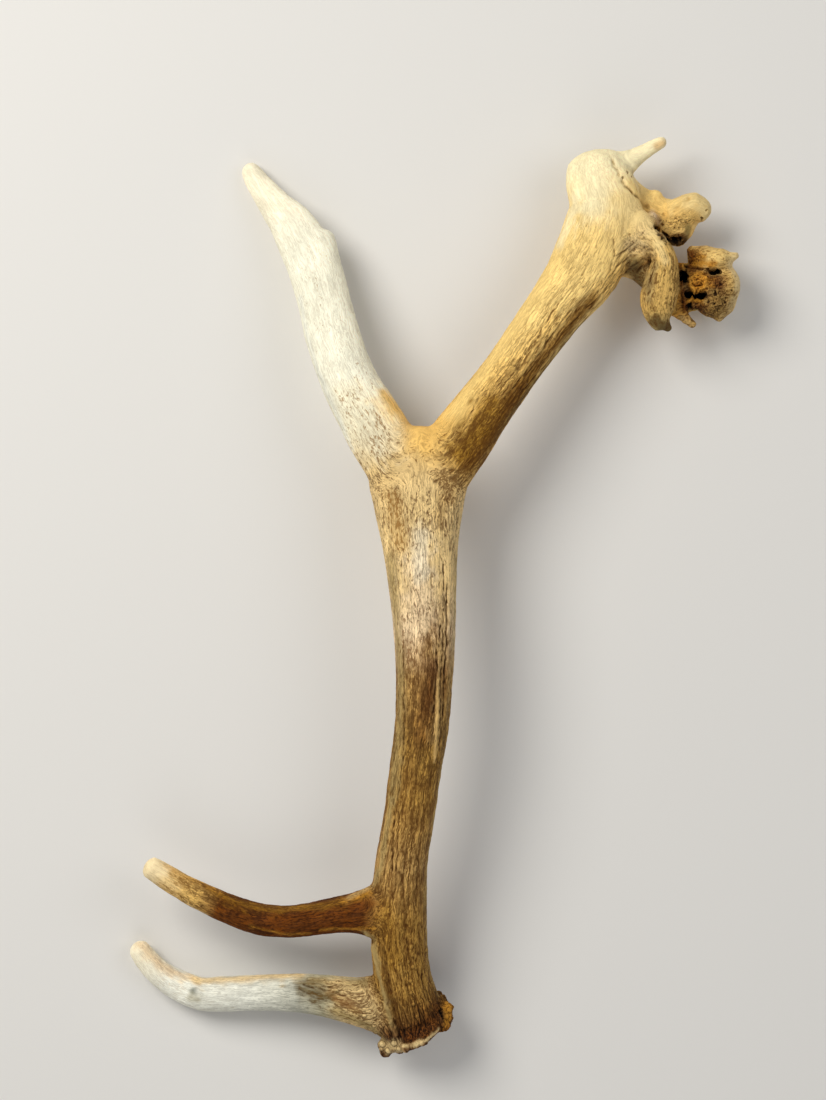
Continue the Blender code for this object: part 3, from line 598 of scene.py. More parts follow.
handRelief = {
    "stray": 1.7,              # mm that the listed lines wander
    # path, half width, height (below zero it is a cut) and how dark the cut is
    "lines": [
        ([(185, 462, 75), (188, 453, 79), (195, 441, 83), (200, 431, 84), (209, 423, 80), (215, 418, 71),
         (224, 413, 58)], 2.9, -1.7, 0.3),
        ([(251, 407), (258, 415), (267, 420)], 2.7, -1.5, 0.15),
        ([(-71, -346, 94), (-64, -364, 81), (-59, -384, 83), (-54, -402, 80), (-49, -424, 76),
         (-45, -442, 74), (-40, -455, 69)], 2.6, 1.5, 0),
        ([(-52, -366, 94), (-48, -394, 88), (-44, -421, 80), (-40, -444, 74)], 2.3, -1.6, 0.5),
        ([(-138, -405, 54), (-122, -410, 59), (-108, -412, 62), (-93, -416, 66)], 1.1, -1.0, 0.8),
        ([(-141, -410, 56), (-128, -417, 59), (-113, -422, 63)], 0.9, -0.7, 0.5),
        ([(-118, -407, 58), (-103, -408, 61), (-89, -413, 66)], 0.9, -0.8, 0.6),
        ([(9, 41, 125), (10, 0, 127), (9, -41, 129), (7, -72, 130), (6, -103, 128)], 1.2, -1.1, 0.6),
        ([(13, 15, 125), (13, -21, 127), (12, -51, 128), (10, -93, 127), (8, -123, 125)], 1.3, -1.4, 0.8),
        ([(6, -26, 130), (3, -56, 132), (2, -82, 132), (-1, -115, 131)], 1.3, -1.2, 0.8),
        ([(17, 0, 122), (17, -41, 123), (14, -87, 121)], 1.1, -0.8, 0.4),
        ([(4, -77, 131), (3, -103, 130), (2, -134, 128), (0, -167, 124)], 1.6, 0.9, 0),
        ([(-32, -41, 127), (-32, -103, 126), (-33, -165, 125), (-38, -206, 121)], 1.1, -0.9, 0.55),
        ([(-42, -206, 117), (-43, -237, 116), (-44, -281, 112)], 1.3, -1.1, 0.65),
        ([(-37, -219, 120), (-38, -258, 117), (-40, -294, 112)], 1.0, -0.7, 0.4),
        ([(-11, -196, 124), (-16, -258, 112), (-19, -316, 102)], 1.1, -0.8, 0.4),
        ([(35, 190, 115), (41, 199, 115), (49, 217, 111), (58, 230, 109)], 0.9, -0.6, 0.3),
        ([(73, 208, 111), (82, 220, 109), (97, 238, 106), (110, 256, 103), (126, 279, 101)], 1.2, -1.0,
         0.45),
        ([(74, 210, 110), (89, 235, 108), (105, 262, 106), (115, 277, 104), (129, 302, 102)], 1.5, 0.9, 0),
        ([(107, 273, 105), (119, 293, 103), (132, 312, 101)], 1.1, -0.9, 0.5),
        ([(88, 210, 101), (104, 232, 97), (121, 257, 96)], 1.3, -1.1, 0.6),
        ([(162, 295), (181, 317), (197, 336), (210, 351), (223, 360), (229, 354)], 1.1, -0.5, 0.2),
        ([(166, 308), (183, 328), (197, 344), (210, 359), (223, 368), (232, 360)], 1.1, -0.5, 0.2),
        ([(170, 320), (185, 339), (197, 354), (208, 365), (219, 376), (230, 374)], 1.1, -0.5, 0.2),
        ([(178, 335), (187, 349), (197, 361), (208, 371), (217, 381)], 1.1, -0.8, 0.28),
        ([(183, 344), (188, 359), (186, 374)], 1.0, -0.7, 0.28),
        ([(214, 343), (220, 354), (227, 357)], 1.1, -0.8, 0.28),
        ([(194, 336), (208, 349), (220, 356), (229, 352)], 1.0, -0.9, 0.3),
        ([(190, 346), (205, 358), (218, 365), (230, 362)], 1.0, -0.9, 0.3),
        ([(188, 356), (203, 366), (216, 374), (227, 372)], 1.0, -0.8, 0.3),
        ([(232, 364), (229, 351), (225, 335), (222, 318)], 1.8, -1.1, 0.2),
        ([(268, 335), (273, 340), (280, 340), (286, 335), (283, 327), (276, 323), (269, 328), (268, 334)],
         1.5, 3.0, 0),
        ([(273, 331), (278, 335), (282, 331)], 1.0, 2.0, 0),
        ([(271, 331), (275, 328), (280, 329), (281, 335), (276, 337)], 1.1, -2.0, 0.75),
        ([(266, 313), (272, 315), (279, 314), (282, 315)], 1.4, 3.0, 0),
        ([(257, 354), (261, 350)], 2.5, 1.4, 0),
        ([(259, 331), (261, 322), (263, 312), (264, 301)], 1.2, 2.4, 0),
        ([(267, 300), (269, 291)], 1.2, 1.1, 0),
        # the cut under the lump's top plate, darkened as the painted shadow beneath the plate
        ([(265, 348), (273, 350), (282, 346), (291, 343), (299, 342)], 1.6, -2.4, 0.6),
    ],
    # centre, radius, share of the darkening that is taken off there, painted shade and dirt alike
    "darkeningLifted": [((219, 362, 88), 17, 0.65), ((165, 430, 86), 34, 0.6), ((-10, 178, 104), 26, 0.5)],
    # path, half width, depth; inside, a cavity is also painted dark and black as its shade
    "cavities": [
        ([(262, 342), (263, 335)], 3.0, 7), ([(266, 320), (273, 319), (282, 318)], 2.7, 7),
        ([(268, 308), (272, 301), (276, 304)], 2.3, 5), ([(262, 365), (265, 358), (266, 352)], 3.1, 5),
        ([(293, 343), (298, 344)], 1.5, 4), ([(294, 320)], 1.6, 2.6), ([(293, 309)], 1.5, 2.2),
        ([(297, 303)], 1.2, 1.8), ([(305, 311)], 1.3, 1.8), ([(287, 311)], 1.3, 2.0),
        ([(312, 323)], 1.2, 1.6), ([(232, 388), (235, 383)], 2.6, 5),
        ([(241, 377), (250, 375), (259, 376)], 3.5, 5), ([(240, 385), (246, 382)], 1.6, 3.4),
        ([(281, 400)], 1.5, 2.6), ([(286, 408)], 1.1, 1.6), ([(8, -431), (9, -439)], 1.6, 3.2),
        ([(197, 440, 82)], 1.3, 1.8), ([(202, 446, 75)], 1.3, 1.5), ([(207, 442, 73)], 1.1, 1.5),
        ([(238, 377)], 0.9, 1.1), ([(241, 370)], 0.9, 1.1), ([(245, 376)], 0.9, 1.0),
    ],
    # centre, radius, height of the pearls on the burr and low beam
    "pearls": [
        ((-22, -422, 82), 2.3, 1.6), ((-18, -435, 78), 2.1, 1.5), ((-24, -410, 86), 1.9, 1.1),
        ((-24, -360, 97), 2.5, 1.2), ((-22, -382, 92), 2.3, 1.2), ((-25, -397, 89), 2.1, 1.1),
        ((-32, -443, 76), 1.5, 0.9), ((-14, -423, 79), 1.5, 0.8), ((-27, -376, 94), 1.8, 0.9),
        ((-37, -377, 96), 2.1, 0.9), ((-54, -469, 48), 3.5, 2.4), ((-48, -476, 49), 3.3, 2.2),
        ((-56, -475, 47), 2.5, 1.6), ((-42, -466, 62), 3.3, 2.2), ((-37, -472, 63), 2.5, 1.5),
        ((-47, -463, 63), 2.1, 1.0), ((13, -426, 51), 2.9, 1.8), ((16, -432, 58), 2.9, 1.8),
        ((13, -438, 62), 2.7, 1.6), ((9, -446, 65), 2.5, 1.3), ((17, -441, 61), 2.1, 1.0),
    ],
    "scatteredPearls": 70,                # more of them, round the whole foot of the beam
    "scatterBelow": -330, "scatterRightOf": -75,      # mm
    "thickFrom": -490, "thinOver": 160,   # mm: they thin out from the burr up
    "pearlSize": (1.2, 2.4),              # mm
    "pearlRise": (0.4, 0.6),              # height as a share of the size
    "pearlsBelow": -325,                  # mm: all pearls lie below this
    "seed": 11,
}


def strayed(points, reach, period):
    shift = [bumpNoise(points / period, seed) for seed in (31.0, 47.0, 63.0)]
    return points + reach * np.stack(shift, 1)


def laidByHand(points, normals, relief):
    # lines, cavities and pearls: height, how dark, how pale, and how black a cavity is painted as its shade
    height, dark, pale, cavityShadow = (np.zeros(len(points)) for _ in range(4))
    loose = strayed(points, relief["stray"], 9.0)
    uneven = np.clip(1 + 1.2 * bumpNoise(points / 6, 17.0), 0.15, 1.8)
    above = upperSide(points, normals)

    def near(path, half):
        path = np.array(path, float)
        flat = path.shape[1]
        low, high = path.min(0) - 4 * half, path.max(0) + 4 * half
        found = ((loose[:, :flat] > low) & (loose[:, :flat] < high)).all(1)
        found = np.flatnonzero(found & above if flat == 2 else found)
        return found, pathDistance(loose[found, :flat], path) / half

    for path, half, rise, shade in relief["lines"]:
        found, gap = near(path, half)
        shape = np.exp(-gap ** 2) * uneven[found]
        height[found] += rise * shape
        dark[found] = np.maximum(dark[found], shade * np.exp(-(gap / 0.8) ** 2) * uneven[found])
        if rise > 0:
            pale[found] = np.maximum(pale[found], 0.55 * shape)
    for path, half, depth in relief["cavities"]:
        found, gap = near(path, half)
        ragged = 0.8 * bumpNoise(points[found] / 3.1, 3.0) + 0.6 * bumpNoise(points[found] / 1.4, 7.0)
        shape = smoothStep(1.6, 0.35, gap + ragged)
        height[found] -= depth * shape
        # painted shade: the inside of a cavity is darkened and blackened
        dark[found] = np.maximum(dark[found], np.sqrt(shape))
        cavityShadow[found] = np.maximum(cavityShadow[found], shape * min(1.0, depth / 4))
    pearls = [(np.array(c), r, h) for c, r, h in relief["pearls"]]
    rng = random.Random(relief["seed"])
    low = (points[:, 1] < relief["scatterBelow"]) & (points[:, 0] > relief["scatterRightOf"])
    low = np.flatnonzero(low)
    for _ in range(relief["scatteredPearls"]):
        at = points[low[int(rng.random() * len(low))]]
        if rng.random() < ((at[1] - relief["thickFrom"]) / relief["thinOver"]) ** 0.8:
            continue
        size = rng.uniform(*relief["pearlSize"])
        pearls.append((at.copy(), size, size * rng.uniform(*relief["pearlRise"])))
    foot = np.flatnonzero(points[:, 1] < relief["pearlsBelow"])
    for centre, radius, rise in pearls:
        gap = np.linalg.norm(points[foot] - centre, axis=1) / radius
        shape = np.clip(1 - gap ** 2, 0, 1) ** 0.7
        height[foot] += rise * shape
        pale[foot] = np.maximum(pale[foot], shape)
        dark[foot] = np.maximum(dark[foot], 0.5 * np.exp(-((gap - 1.15) / 0.3) ** 2))
    return height, dark, pale, cavityShadow


boneSurface = {
    "grooveDepth": 0.85,
    "grooveWander": (2.6, 1.8, 0),       # mm that grooves stray across, up and along
    "wanderEvery": (10, 10, 22),
    "broadGrooves": (5.2, 5.2, 70),      # mm from groove to groove, and how long they run
    "fineGrooves": (3.0, 3.0, 26),
    "broadHalf": 0.16, "fineHalf": 0.19,
    "calmInForks": 0.75,                 # grooves all but end where branches meet
    "rippleDepth": 0.55, "rippleEvery": 13,
    "gritDepth": 0.2, "gritEvery": 3.2,
    "spongeDepth": 2.4,
    "spongeFrom": 0.04,                  # less sponginess than this is left smooth
    "holeEvery": 4.0, "pitEvery": 1.8, "curlEvery": 2.6,
}


def boneRelief(points, grain, knit, paint, look):
    # grooves run with the branch, ripples are low and broad, and broken places are spongy
    groove, sponge = paint[:, 7] * (1 - look["calmInForks"] * knit), paint[:, 8]
    wobble = bumpNoise(grain / look["wanderEvery"], 3.1)
    lanes = grain + wobble[:, None] * look["grooveWander"]
    broad = bumpNoise(lanes / look["broadGrooves"], 8.3)
    fine = bumpNoise(lanes / look["fineGrooves"], 21.7)
    broadCut = np.clip(1 - np.abs(broad) / look["broadHalf"], 0, 1) ** 1.3
    fineCut = np.clip(1 - np.abs(fine) / look["fineHalf"], 0, 1) ** 1.2
    cut = np.clip(0.7 * broadCut + 0.6 * fineCut, 0, 1)
    height = -look["grooveDepth"] * groove * cut
    height += look["rippleDepth"] * bumpNoise(points / look["rippleEvery"], 5.5) * (0.5 + groove * 0.5)
    height += look["gritDepth"] * bumpNoise(points / look["gritEvery"], 9.9)
    dark = np.clip(groove, 0, 1.3) * cut * 0.6
    rough = np.flatnonzero(sponge > look["spongeFrom"])
    place = strayed(points[rough], 2.2, 3.6)
    near, second = cellNoise(place / look["holeEvery"])
    hollow = np.clip((second - near) / 0.34, 0, 1) * smoothStep(-0.2, 0.15, bumpNoise(place / 5, 12.0))
    near, second = cellNoise(place / look["pitEvery"])
    pits = np.clip((second - near) / 0.4, 0, 1)
    curls = 1 - np.abs(bumpNoise(place / look["curlEvery"], 2.2)) * 3
    gaps = 0.8 * hollow + 0.28 * pits - 0.3 * np.clip(curls, -0.6, 1)
    height[rough] -= look["spongeDepth"] * sponge[rough] * gaps
    shade = np.clip(sponge[rough] * (0.95 * hollow + 0.45 * pits - 0.1), 0, 1)
    dark[rough] = np.maximum(dark[rough], shade)
    return height, dark


skin = fuseBone(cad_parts, boneSkin)
refineBoxes(skin, boneSkin["fineBoxes"])
edges = readValues(skin.edges, "vertices", 2, np.int32)
points = readPoints(skin)
points = easeFlats(points, edges, boneSkin)
writePoints(skin, points)
normals = readNormals(skin)
print("bone skin of", len(points), "points eased")

weights, grain, shares, knit = blendBranches(points, boneBranches, boneForks)
wander = bumpNoise(points / 9, 1.3) + 0.9 * bumpNoise(grain / (4, 4, 14), 4.2)
paint = baseTones(weights, shares, boneBranches)
paint = brushStrokes(points, normals, paint, boneBranches, wander)
print("stains laid along", len(boneBranches), "branches")

# the face where the antler came off the skull: pale and finely porous
sealFace = {
    "centre": (-10.7, -454.6, 37.6), "facing": (0.544, -0.705, -0.455), "half": 36,
    "ground": "sealTan", "stain": "goldBrown", "fleck": 0.45, "sponge": 0.34,
}
outwards = np.array(sealFace["facing"])
offset = (points - sealFace["centre"]) @ outwards
radial = np.linalg.norm(points - sealFace["centre"] - offset[:, None] * outwards, axis=1)
seal = (np.abs(offset) < 2.2) & (radial < sealFace["half"]) & (normals @ outwards > 0.8)
sealPaint = np.array([*boneTones[sealFace["ground"]], *boneTones[sealFace["stain"]],
                      sealFace["fleck"], 0, sealFace["sponge"]])
paint[seal] = 0.15 * paint[seal] + 0.85 * sealPaint

boneShadeDirtAndRub = {
    "cavityShade": 0.88,       # painted shade: how black the cavities are
    "rounds": 6,               # how wide a hollow still counts as one
    "quickRounds": 2,
    "hollow": (0.05, 0.5),     # mm deep where the darkening starts and where it is full
    "hollowShade": 0.55,
    "ridge": (0.03, 0.35),     # mm high where rubbing starts and where it is full
    "paleRub": 0.9,
    "polish": 1.1,             # pale places and tips are rubbed smooth
}

height, dark = boneRelief(points, grain, knit, paint, boneSurface)
handHeight, handDark, pale, cavityShadow = laidByHand(points, normals, handRelief)
# painted shadow: deep cavities are blackened in the colour itself
paint[:, 0:6] *= 1 - boneShadeDirtAndRub["cavityShade"] * cavityShadow[:, None]
points = points + normals * (height + handHeight)[:, None]
hair = 0.02      # mm that the skin stays inside the solids' box
points = np.clip(points, np.array(cadLow) / mm + hair, np.array(cadHigh) / mm - hair)
writePoints(skin, points)
print("grooves, pearls and broken places cut")

# hollows are darkened, as dirt and as painted shade, and rubbed edges are lighter
settled = points.copy()
for _ in range(boneShadeDirtAndRub["rounds"]):
    settled = neighbourMean(settled, edges)
hollow = ((settled - points) * readNormals(skin)).sum(1)
hollowDirtAndShade = smoothStep(*boneShadeDirtAndRub["hollow"], hollow) * boneShadeDirtAndRub["hollowShade"]
dark = np.clip(np.maximum(dark, handDark) + hollowDirtAndShade, 0, 1)
rub = np.clip(smoothStep(*boneShadeDirtAndRub["ridge"], -hollow) + pale * boneShadeDirtAndRub["paleRub"], 0, 1)
# in a few places part of the darkening, painted shade with it, is taken off again
for centre, radius, share in handRelief["darkeningLifted"]:
    dark *= 1 - share * smoothStep(1.2, 0.6, np.linalg.norm(points - centre, axis=1) / radius)
shine = np.clip(paint[:, 0:3].mean(1) * boneShadeDirtAndRub["polish"], 0, 1)

# what the material reads at each point of the skin; marks are flecks, darkening and rubbing, the
# darkening being dark grooves, dirt and painted shade in hollows and cavities; wear is sponginess,
# grooves and shine, and the grain is the place across, up and along the bone in cm
boneLayers = {
    "groundTone": ("FLOAT_COLOR", paint[:, 0:3]),
    "stainTone": ("FLOAT_COLOR", paint[:, 3:6]),
    "boneMarks": ("FLOAT_VECTOR", np.stack([paint[:, 6], dark, rub], 1)),
    "boneWear": ("FLOAT_VECTOR", np.stack([paint[:, 8], paint[:, 7], shine], 1)),
    "boneGrain": ("FLOAT_VECTOR", grain / 10),
    "boneKnit": ("FLOAT", knit),
}


def addLayer(mesh, name, kind, values):
    layer = mesh.attributes.new(name, kind, "POINT")
    if kind == "FLOAT_COLOR":
        values = np.concatenate([values, np.ones((len(values), 1))], 1)
        layer.data.foreach_set("color", values.astype(np.float32).ravel())
    elif kind == "FLOAT":
        layer.data.foreach_set("value", values.astype(np.float32))
    else:
        layer.data.foreach_set("vector", values.astype(np.float32).ravel())


bonePieces = {
    # shown piece: the solid it stands for
    "burr": "main_beam", "mainBeam": "main_beam", "browTine": "brow_tine", "bezTine": "bez_tine",
    "forkTine": "fork_tine", "upperBeam": "upper_beam", "crownSpike": "crown_spike",
    "crownKnob": "crown_knob", "crownCup": "crown_cup",
}
burrTop = -392      # mm: the burr piece ends here, low on the beam


def faceOwners(mesh, nodes):
    # the nearest solid takes each face
    names = sorted(nodes)
    corners, faces, owners = [], [], []
    for number, name in enumerate(names):
        start = len(corners)
        data = nodes[name].data
        corners += [v.co.copy() for v in data.vertices]
        for polygon in data.polygons:
            faces.append([start + i for i in polygon.vertices])
            owners.append(number)
    tree = BVHTree.FromPolygons(corners, faces)
    centres = readValues(mesh.polygons, "center", 3)
    found = [owners[tree.find_nearest(centre)[2]] for centre in centres.tolist()]
    return names, np.array(found), centres / mm


def settleOwners(owner, loops, faceOfLoop, rounds=8):
    # each face takes the owner that most of its neighbours have, so no piece has islands
    for _ in range(rounds):
        votes = []
        for number in range(owner.max() + 1):
            mine = (owner == number)[faceOfLoop].astype(float)
            atPoint = np.bincount(loops, weights=mine)
            votes.append(np.bincount(faceOfLoop, weights=atPoint[loops]))
        owner = np.argmax(votes, axis=0)
    return owner


def capCuts(part):
    # closes a piece where it was cut from its neighbour; says how many points that took
    bm = bmesh.new()
    bm.from_mesh(part)
    rim = [edge for edge in bm.edges if edge.is_boundary]
    caps = bmesh.ops.holes_fill(bm, edges=rim, sides=0)["faces"]
    middles = bmesh.ops.poke(bm, faces=caps)["verts"]
    bm.to_mesh(part)
    bm.free()
    return len(middles)


def cutPieces(mesh, nodes, layers):
    # cuts the skin at the forks into the pieces that are shown
    names, owner, centres = faceOwners(mesh, nodes)
    count = readValues(mesh.polygons, "loop_total", kind=np.int32)
    loops = readValues(mesh.loops, "vertex_index", kind=np.int32)
    starts = np.concatenate([[0], np.cumsum(count)[:-1]])
    owner = settleOwners(owner, loops, np.repeat(np.arange(len(count)), count))
    normals = readNormals(mesh)      # a cut edge keeps the shading of the unbroken bone
    low = (centres[:, 1] < burrTop) & (owner == names.index("main_beam"))
    made = {}
    for piece, node in bonePieces.items():
        mine = owner == names.index(node)
        if node == "main_beam":
            mine = low if piece == "burr" else mine & ~low
        chosen = np.flatnonzero(mine)
        corners = np.concatenate([loops[starts[f]:starts[f] + count[f]] for f in chosen])
        used, local = np.unique(corners, return_inverse=True)
        bounds = np.concatenate([[0], np.cumsum(count[chosen])])
        polygons = [local[a:b].tolist() for a, b in zip(bounds[:-1], bounds[1:])]
        part = bpy.data.meshes.new(piece)
        part.from_pydata((points[used] * mm).tolist(), [], polygons)
        for name, (kind, values) in layers.items():
            addLayer(part, name, kind, values[used])
        middles = capCuts(part)
        part.shade_smooth()
        part.normals_split_custom_set_from_vertices(normals[used].tolist() + [(0, 0, 0)] * middles)
        made[piece] = bpy.data.objects.new(piece, part)
        bpy.context.scene.collection.objects.link(made[piece])
        print("  ", piece, sum(len(p.vertices) - 2 for p in part.polygons), "triangles")
    return made


pieces = cutPieces(skin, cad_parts, boneLayers)
bpy.data.meshes.remove(skin)


boneFinish = {
    "fleckWide": 1.75, "fleckLong": 5.2,     # mm from fleck to fleck, across and along the bone
    "knotWide": 2.2,                         # the same in the forks, where the grain has no way
    "streakWide": 1.5, "streakLong": 15,     # the flecks of deeply grooved bone are longer
    "fibreWide": 1.1, "fibreLong": 24,
    "softness": 0.072,                       # how gently flecks fade into the ground
    "mottle": 0.15,                          # how much the ground colour drifts
    "fleckCover": 0.9, "rubCover": 0.5, "poreCover": 0.7,
    "deepShade": 0.62,                       # of the stain, in hollows and pores
    "roughDull": 0.68, "roughRubbed": 0.46,
    "specular": 0.12, "ior": 1.5,
    "bumpDepth": 0.9, "bumpStrength": 0.75,  # mm, and how much of it shows
    # how high each stands in that relief, below zero it is sunk
    "fleckRise": -0.36, "fibreRise": -0.5, "ridgeRise": 0.22, "poreRise": -1.4, "skinRise": 0.3,
}


class Bench:
    # short hand for putting shader nodes on the table and joining them
    def __init__(self, tree):
        self.tree = tree

    def put(self, kind, settings=None, **inputs):
        node = self.tree.nodes.new(kind)
        for name, value in (settings or {}).items():
            setattr(node, name, value)
        for name, value in inputs.items():      # by name, or i and the socket's number
            socket = node.inputs[int(name[1:]) if name[1:].isdigit() else name]
            if isinstance(value, bpy.types.NodeSocket):
                self.tree.links.new(value, socket)
            else:
                socket.default_value = value
        return node

    def sum(self, how, a, b=0.0, c=0.0, clamp=False):
        node = self.put("ShaderNodeMath", {"operation": how, "use_clamp": clamp}, i0=a, i1=b, i2=c)
        return node.outputs[0]

    def times(self, a, b, plus=0.0):
        return self.sum("MULTIPLY_ADD", a, b, plus)

    def clampedTimes(self, a, b):
        return self.sum("MULTIPLY", a, b, clamp=True)

    def scale(self, colour, a):
        return self.put("ShaderNodeVectorMath", {"operation": "SCALE"}, i0=colour, Scale=a).outputs[0]

    def addScaled(self, a, b, c):
        return self.put("ShaderNodeVectorMath", {"operation": "MULTIPLY_ADD"}, i0=a, i1=b, i2=c).outputs[0]

    def mix(self, amount, a, b):
        return self.put("ShaderNodeMix", {"data_type": "RGBA"}, i0=amount, i6=a, i7=b).outputs[2]

    def blend(self, amount, a, b):
        return self.put("ShaderNodeMix", {"data_type": "FLOAT"}, i0=amount, i2=a, i3=b).outputs[0]

    def ramp(self, value, low, high, toLow=0.0, toHigh=1.0):
        node = self.put("ShaderNodeMapRange", {"interpolation_type": "SMOOTHSTEP"}, i0=value, i1=low,
                        i2=high, i3=toLow, i4=toHigh)
        return node.outputs[0]

    def noise(self, vector, detail=3.0, rough=0.6, warp=0.0):
        return self.put("ShaderNodeTexNoise", None, Vector=vector, Scale=1.0, Detail=detail,
                        Roughness=rough, Distortion=warp).outputs[0]

    def stretch(self, vector, across, along):
        # the grain in cm, stretched so that one grain is so many mm wide and long
        return self.put("ShaderNodeMapping", None, Vector=vector,
                        Scale=(10 / across, 10 / across, 10 / along)).outputs[0]


def antlerBone(name, look):
    material = bpy.data.materials.new(name)
    material.use_nodes = True
    tree = material.node_tree
    tree.nodes.clear()
    b = Bench(tree)

    def layer(label, output):
        return b.put("ShaderNodeAttribute", {"attribute_name": label}).outputs[output]

    ground, stain = layer("groundTone", "Color"), layer("stainTone", "Color")
    fleck, dark, rub = b.put("ShaderNodeSeparateXYZ", None, Vector=layer("boneMarks", "Vector")).outputs
    sponge, groove, shine = b.put("ShaderNodeSeparateXYZ", None, Vector=layer("boneWear", "Vector")).outputs
    grainLine, knit = layer("boneGrain", "Vector"), layer("boneKnit", "Fac")

    # worm-like flecks: a warped, stretched noise cut at a level that follows how stained the place is
    drift = b.put("ShaderNodeTexNoise", None, Vector=b.stretch(grainLine, 6, 9), Scale=1.0, Detail=2.0)
    push = b.addScaled(drift.outputs["Color"], (0.45, 0.45, 0.6), grainLine)
    worms = b.noise(b.stretch(push, look["fleckWide"], look["fleckLong"]), warp=0.4)
    streaks = b.noise(b.stretch(push, look["streakWide"], look["streakLong"]), rough=0.65, warp=0.3)
    worms = b.blend(b.ramp(groove, 0.3, 0.7, 0.1, 0.75), worms, streaks)
    inForks = b.put("ShaderNodeTexCoord").outputs["Object"]
    knots = b.noise(b.put("ShaderNodeMapping", None, Vector=inForks,
                          Scale=[1 / (look["knotWide"] * mm)] * 3).outputs[0], warp=0.6)
    pattern = b.blend(knit, worms, knots)
    clump = b.noise(b.stretch(grainLine, 13, 24), 2.0, 0.5)
    bands = b.noise(b.stretch(grainLine, 4.4, 80), 2.0, 0.5)
    level = b.times(bands, -0.22, b.times(clump, -0.3, b.times(fleck, -0.56, 1.04)))
    flecks = b.ramp(pattern, b.sum("SUBTRACT", level, look["softness"]),
                    b.sum("ADD", level, look["softness"]))

    # fibres that run with the bone
    fibres = b.noise(b.stretch(push, look["fibreWide"], look["fibreLong"]))
    way = b.times(knit, -0.75, 1.0)
    fibreMask = b.times(b.ramp(fibres, 0.5, 0.66), b.times(groove, 0.55, 0.12))
    fibreMask = b.clampedTimes(fibreMask, way)
    ridges = b.times(b.ramp(fibres, 0.36, 0.62, 0.8, -0.6), way)
    sheen = b.times(ridges, b.times(groove, 0.5, 0.1), 1.0)

    # colour
    mottle = b.noise(b.stretch(grainLine, 26, 44))
    lift = b.ramp(mottle, 0.3, 0.7, 1.0 - look["mottle"], 1.0 + look["mottle"] * 0.7)
    tint = b.scale(ground, b.times(lift, sheen))
    stained = b.mix(b.times(flecks, look["fleckCover"]), tint, b.mix(0.12, stain, tint))
    lined = b.mix(fibreMask, stained, stain)
    deep = b.scale(stain, look["deepShade"])
    cut = b.mix(b.clampedTimes(dark, b.ramp(pattern, 0.3, 0.55, 0.7, 1.0)), lined, deep)
    paleRub = b.addScaled(ground, (1.15, 1.15, 1.15), (0.014, 0.012, 0.008))
    rubbed = b.mix(b.times(rub, look["rubCover"]), cut, paleRub)

    # tiny pores in the broken, spongy places
    cells = b.put("ShaderNodeTexVoronoi", None, Vector=grainLine, Scale=6.0).outputs["Distance"]
    pores = b.clampedTimes(b.ramp(cells, 0.34, 0.16), sponge)
    colour = b.mix(b.times(pores, look["poreCover"]), rubbed, deep)

    # gloss
    rough = b.ramp(shine, 0.1, 0.85, look["roughDull"], look["roughRubbed"])
    rough = b.sum("ADD", rough, b.ramp(b.noise(b.stretch(grainLine, 9, 16)), 0.3, 0.7, -0.07, 0.08))
    rough = b.sum("ADD", rough, b.times(b.sum("ADD", flecks, pores), 0.08), clamp=True)

    # relief finer than the mesh
    height = b.times(flecks, look["fleckRise"])
    skinNoise = b.noise(b.stretch(grainLine, 1.3, 1.9))
    for part, rise in ((fibreMask, "fibreRise"), (ridges, "ridgeRise"), (pores, "poreRise"),
                       (skinNoise, "skinRise")):
        height = b.times(part, look[rise], height)
    bump = b.put("ShaderNodeBump", None, Strength=look["bumpStrength"], Distance=look["bumpDepth"] * mm,
                 Height=height)

    shader = b.put("ShaderNodeBsdfPrincipled", None, Normal=bump.outputs[0])
    shader.inputs["Base Color"].default_value = (0.7, 0.6, 0.45, 1)
    tree.links.new(colour, shader.inputs["Base Color"])
    tree.links.new(rough, shader.inputs["Roughness"])
    shader.inputs["IOR"].default_value = look["ior"]
    shader.inputs["Specular IOR Level"].default_value = look["specular"]
    out = b.put("ShaderNodeOutputMaterial")
    tree.links.new(shader.outputs[0], out.inputs["Surface"])
    return material


antlerMaterial = antlerBone("antlerBone", boneFinish)
for piece, node in bonePieces.items():
    pieces[piece].data.materials.append(antlerMaterial)
    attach(pieces[piece], "root")
    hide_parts(node)
print("pieces finished")


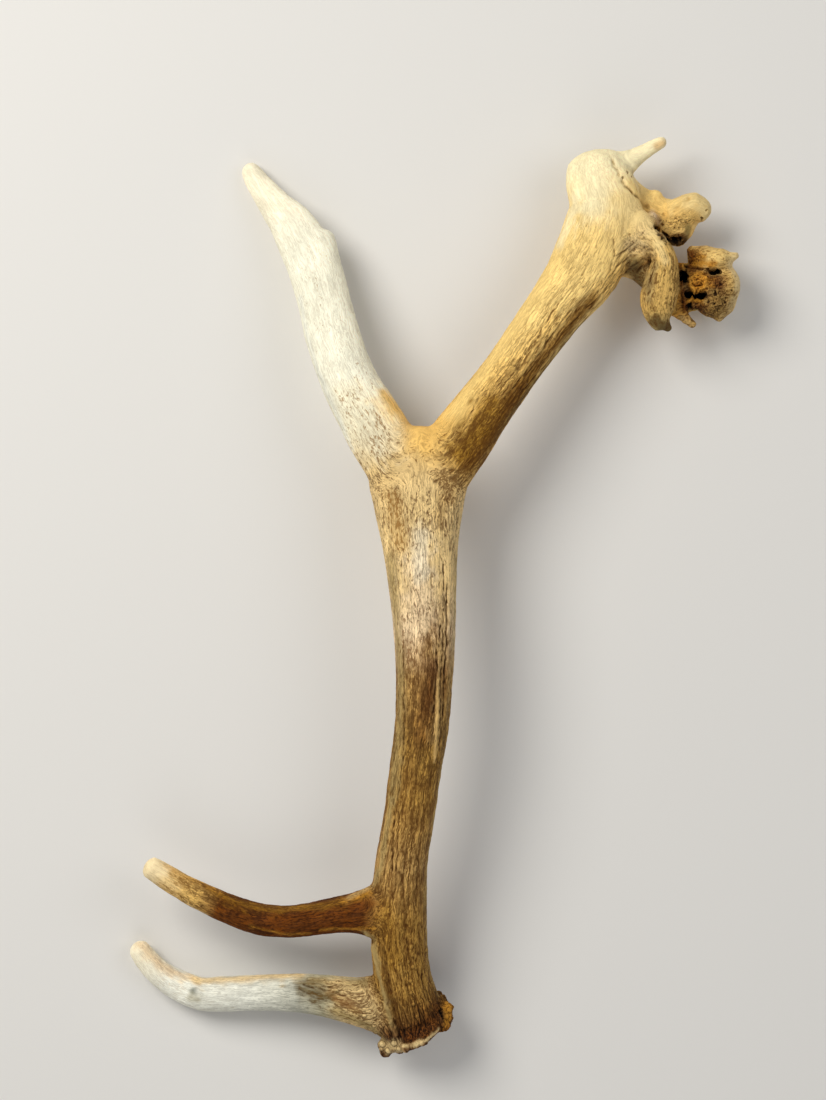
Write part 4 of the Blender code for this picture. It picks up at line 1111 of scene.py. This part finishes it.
studio = {
    "floorTone": tone(226, 224, 220),
    "floorHalf": 12, "floorDrop": 0.0004,     # m; it lies a hair under the bone
    "floorRough": 0.85,
    # name: place, half width, watts, colour
    "lamps": {
        "bigSoftLeft": ((-1.8, 1.5, 2.5), 1.0, 88, (1.0, 0.975, 0.92)),
        "softRight": ((1.9, 0.6, 2.4), 1.0, 15, (0.97, 0.98, 1.0)),
        "softFoot": ((-0.2, -2.2, 2.2), 1.0, 11, (1.0, 0.98, 0.95)),
    },
    "aim": (0.0, 0.0, 0.05),
    "sky": (0.97, 0.98, 1.0), "skyStrength": 0.26,
}


def plainFloor(look):
    bpy.ops.mesh.primitive_grid_add(x_subdivisions=8, y_subdivisions=8, size=2 * look["floorHalf"])
    floor = bpy.context.object
    floor.name = "studioFloor"
    floor.location = (0, 0, -look["floorDrop"])
    card = bpy.data.materials.new("paleCard")
    card.use_nodes = True
    shader = card.node_tree.nodes["Principled BSDF"]
    b = Bench(card.node_tree)
    place = b.put("ShaderNodeTexCoord").outputs["Object"]
    tooth = b.put("ShaderNodeTexNoise", None, Vector=place, Scale=240.0, Detail=2.0)
    bump = b.put("ShaderNodeBump", None, Strength=0.08, Distance=0.0004, Height=tooth.outputs[0])
    shader.inputs["Base Color"].default_value = (*look["floorTone"], 1)
    shader.inputs["Roughness"].default_value = look["floorRough"]
    card.node_tree.links.new(bump.outputs[0], shader.inputs["Normal"])
    floor.data.materials.append(card)


def softLamps(look):
    for name, (place, half, watts, colour) in look["lamps"].items():
        data = bpy.data.lights.new(name, "AREA")
        data.shape = "DISK"
        data.size = 2 * half
        data.energy = watts
        data.color = colour
        lamp = bpy.data.objects.new(name, data)
        lamp.location = place
        lamp.rotation_euler = (Vector(look["aim"]) - Vector(place)).to_track_quat("-Z", "Y").to_euler()
        bpy.context.scene.collection.objects.link(lamp)
    world = bpy.data.worlds.new("paleRoom")
    world.use_nodes = True
    sky = world.node_tree.nodes["Background"]
    sky.inputs[0].default_value = (*look["sky"], 1)
    sky.inputs[1].default_value = look["skyStrength"]
    bpy.context.scene.world = world


cameraView = {"place": (-0.0221, 0.0514, 3.26), "lens": 99.74}


def overheadCamera(look):
    data = bpy.data.cameras.new("overhead")
    data.sensor_fit = "VERTICAL"
    data.sensor_height = 36
    data.lens = look["lens"]
    data.clip_end = 20
    camera = bpy.data.objects.new("overhead", data)
    camera.location = look["place"]
    bpy.context.scene.collection.objects.link(camera)
    bpy.context.scene.camera = camera


plainFloor(studio)
softLamps(studio)
overheadCamera(cameraView)
bpy.context.scene.view_settings.view_transform = "Standard"
print("studio set")
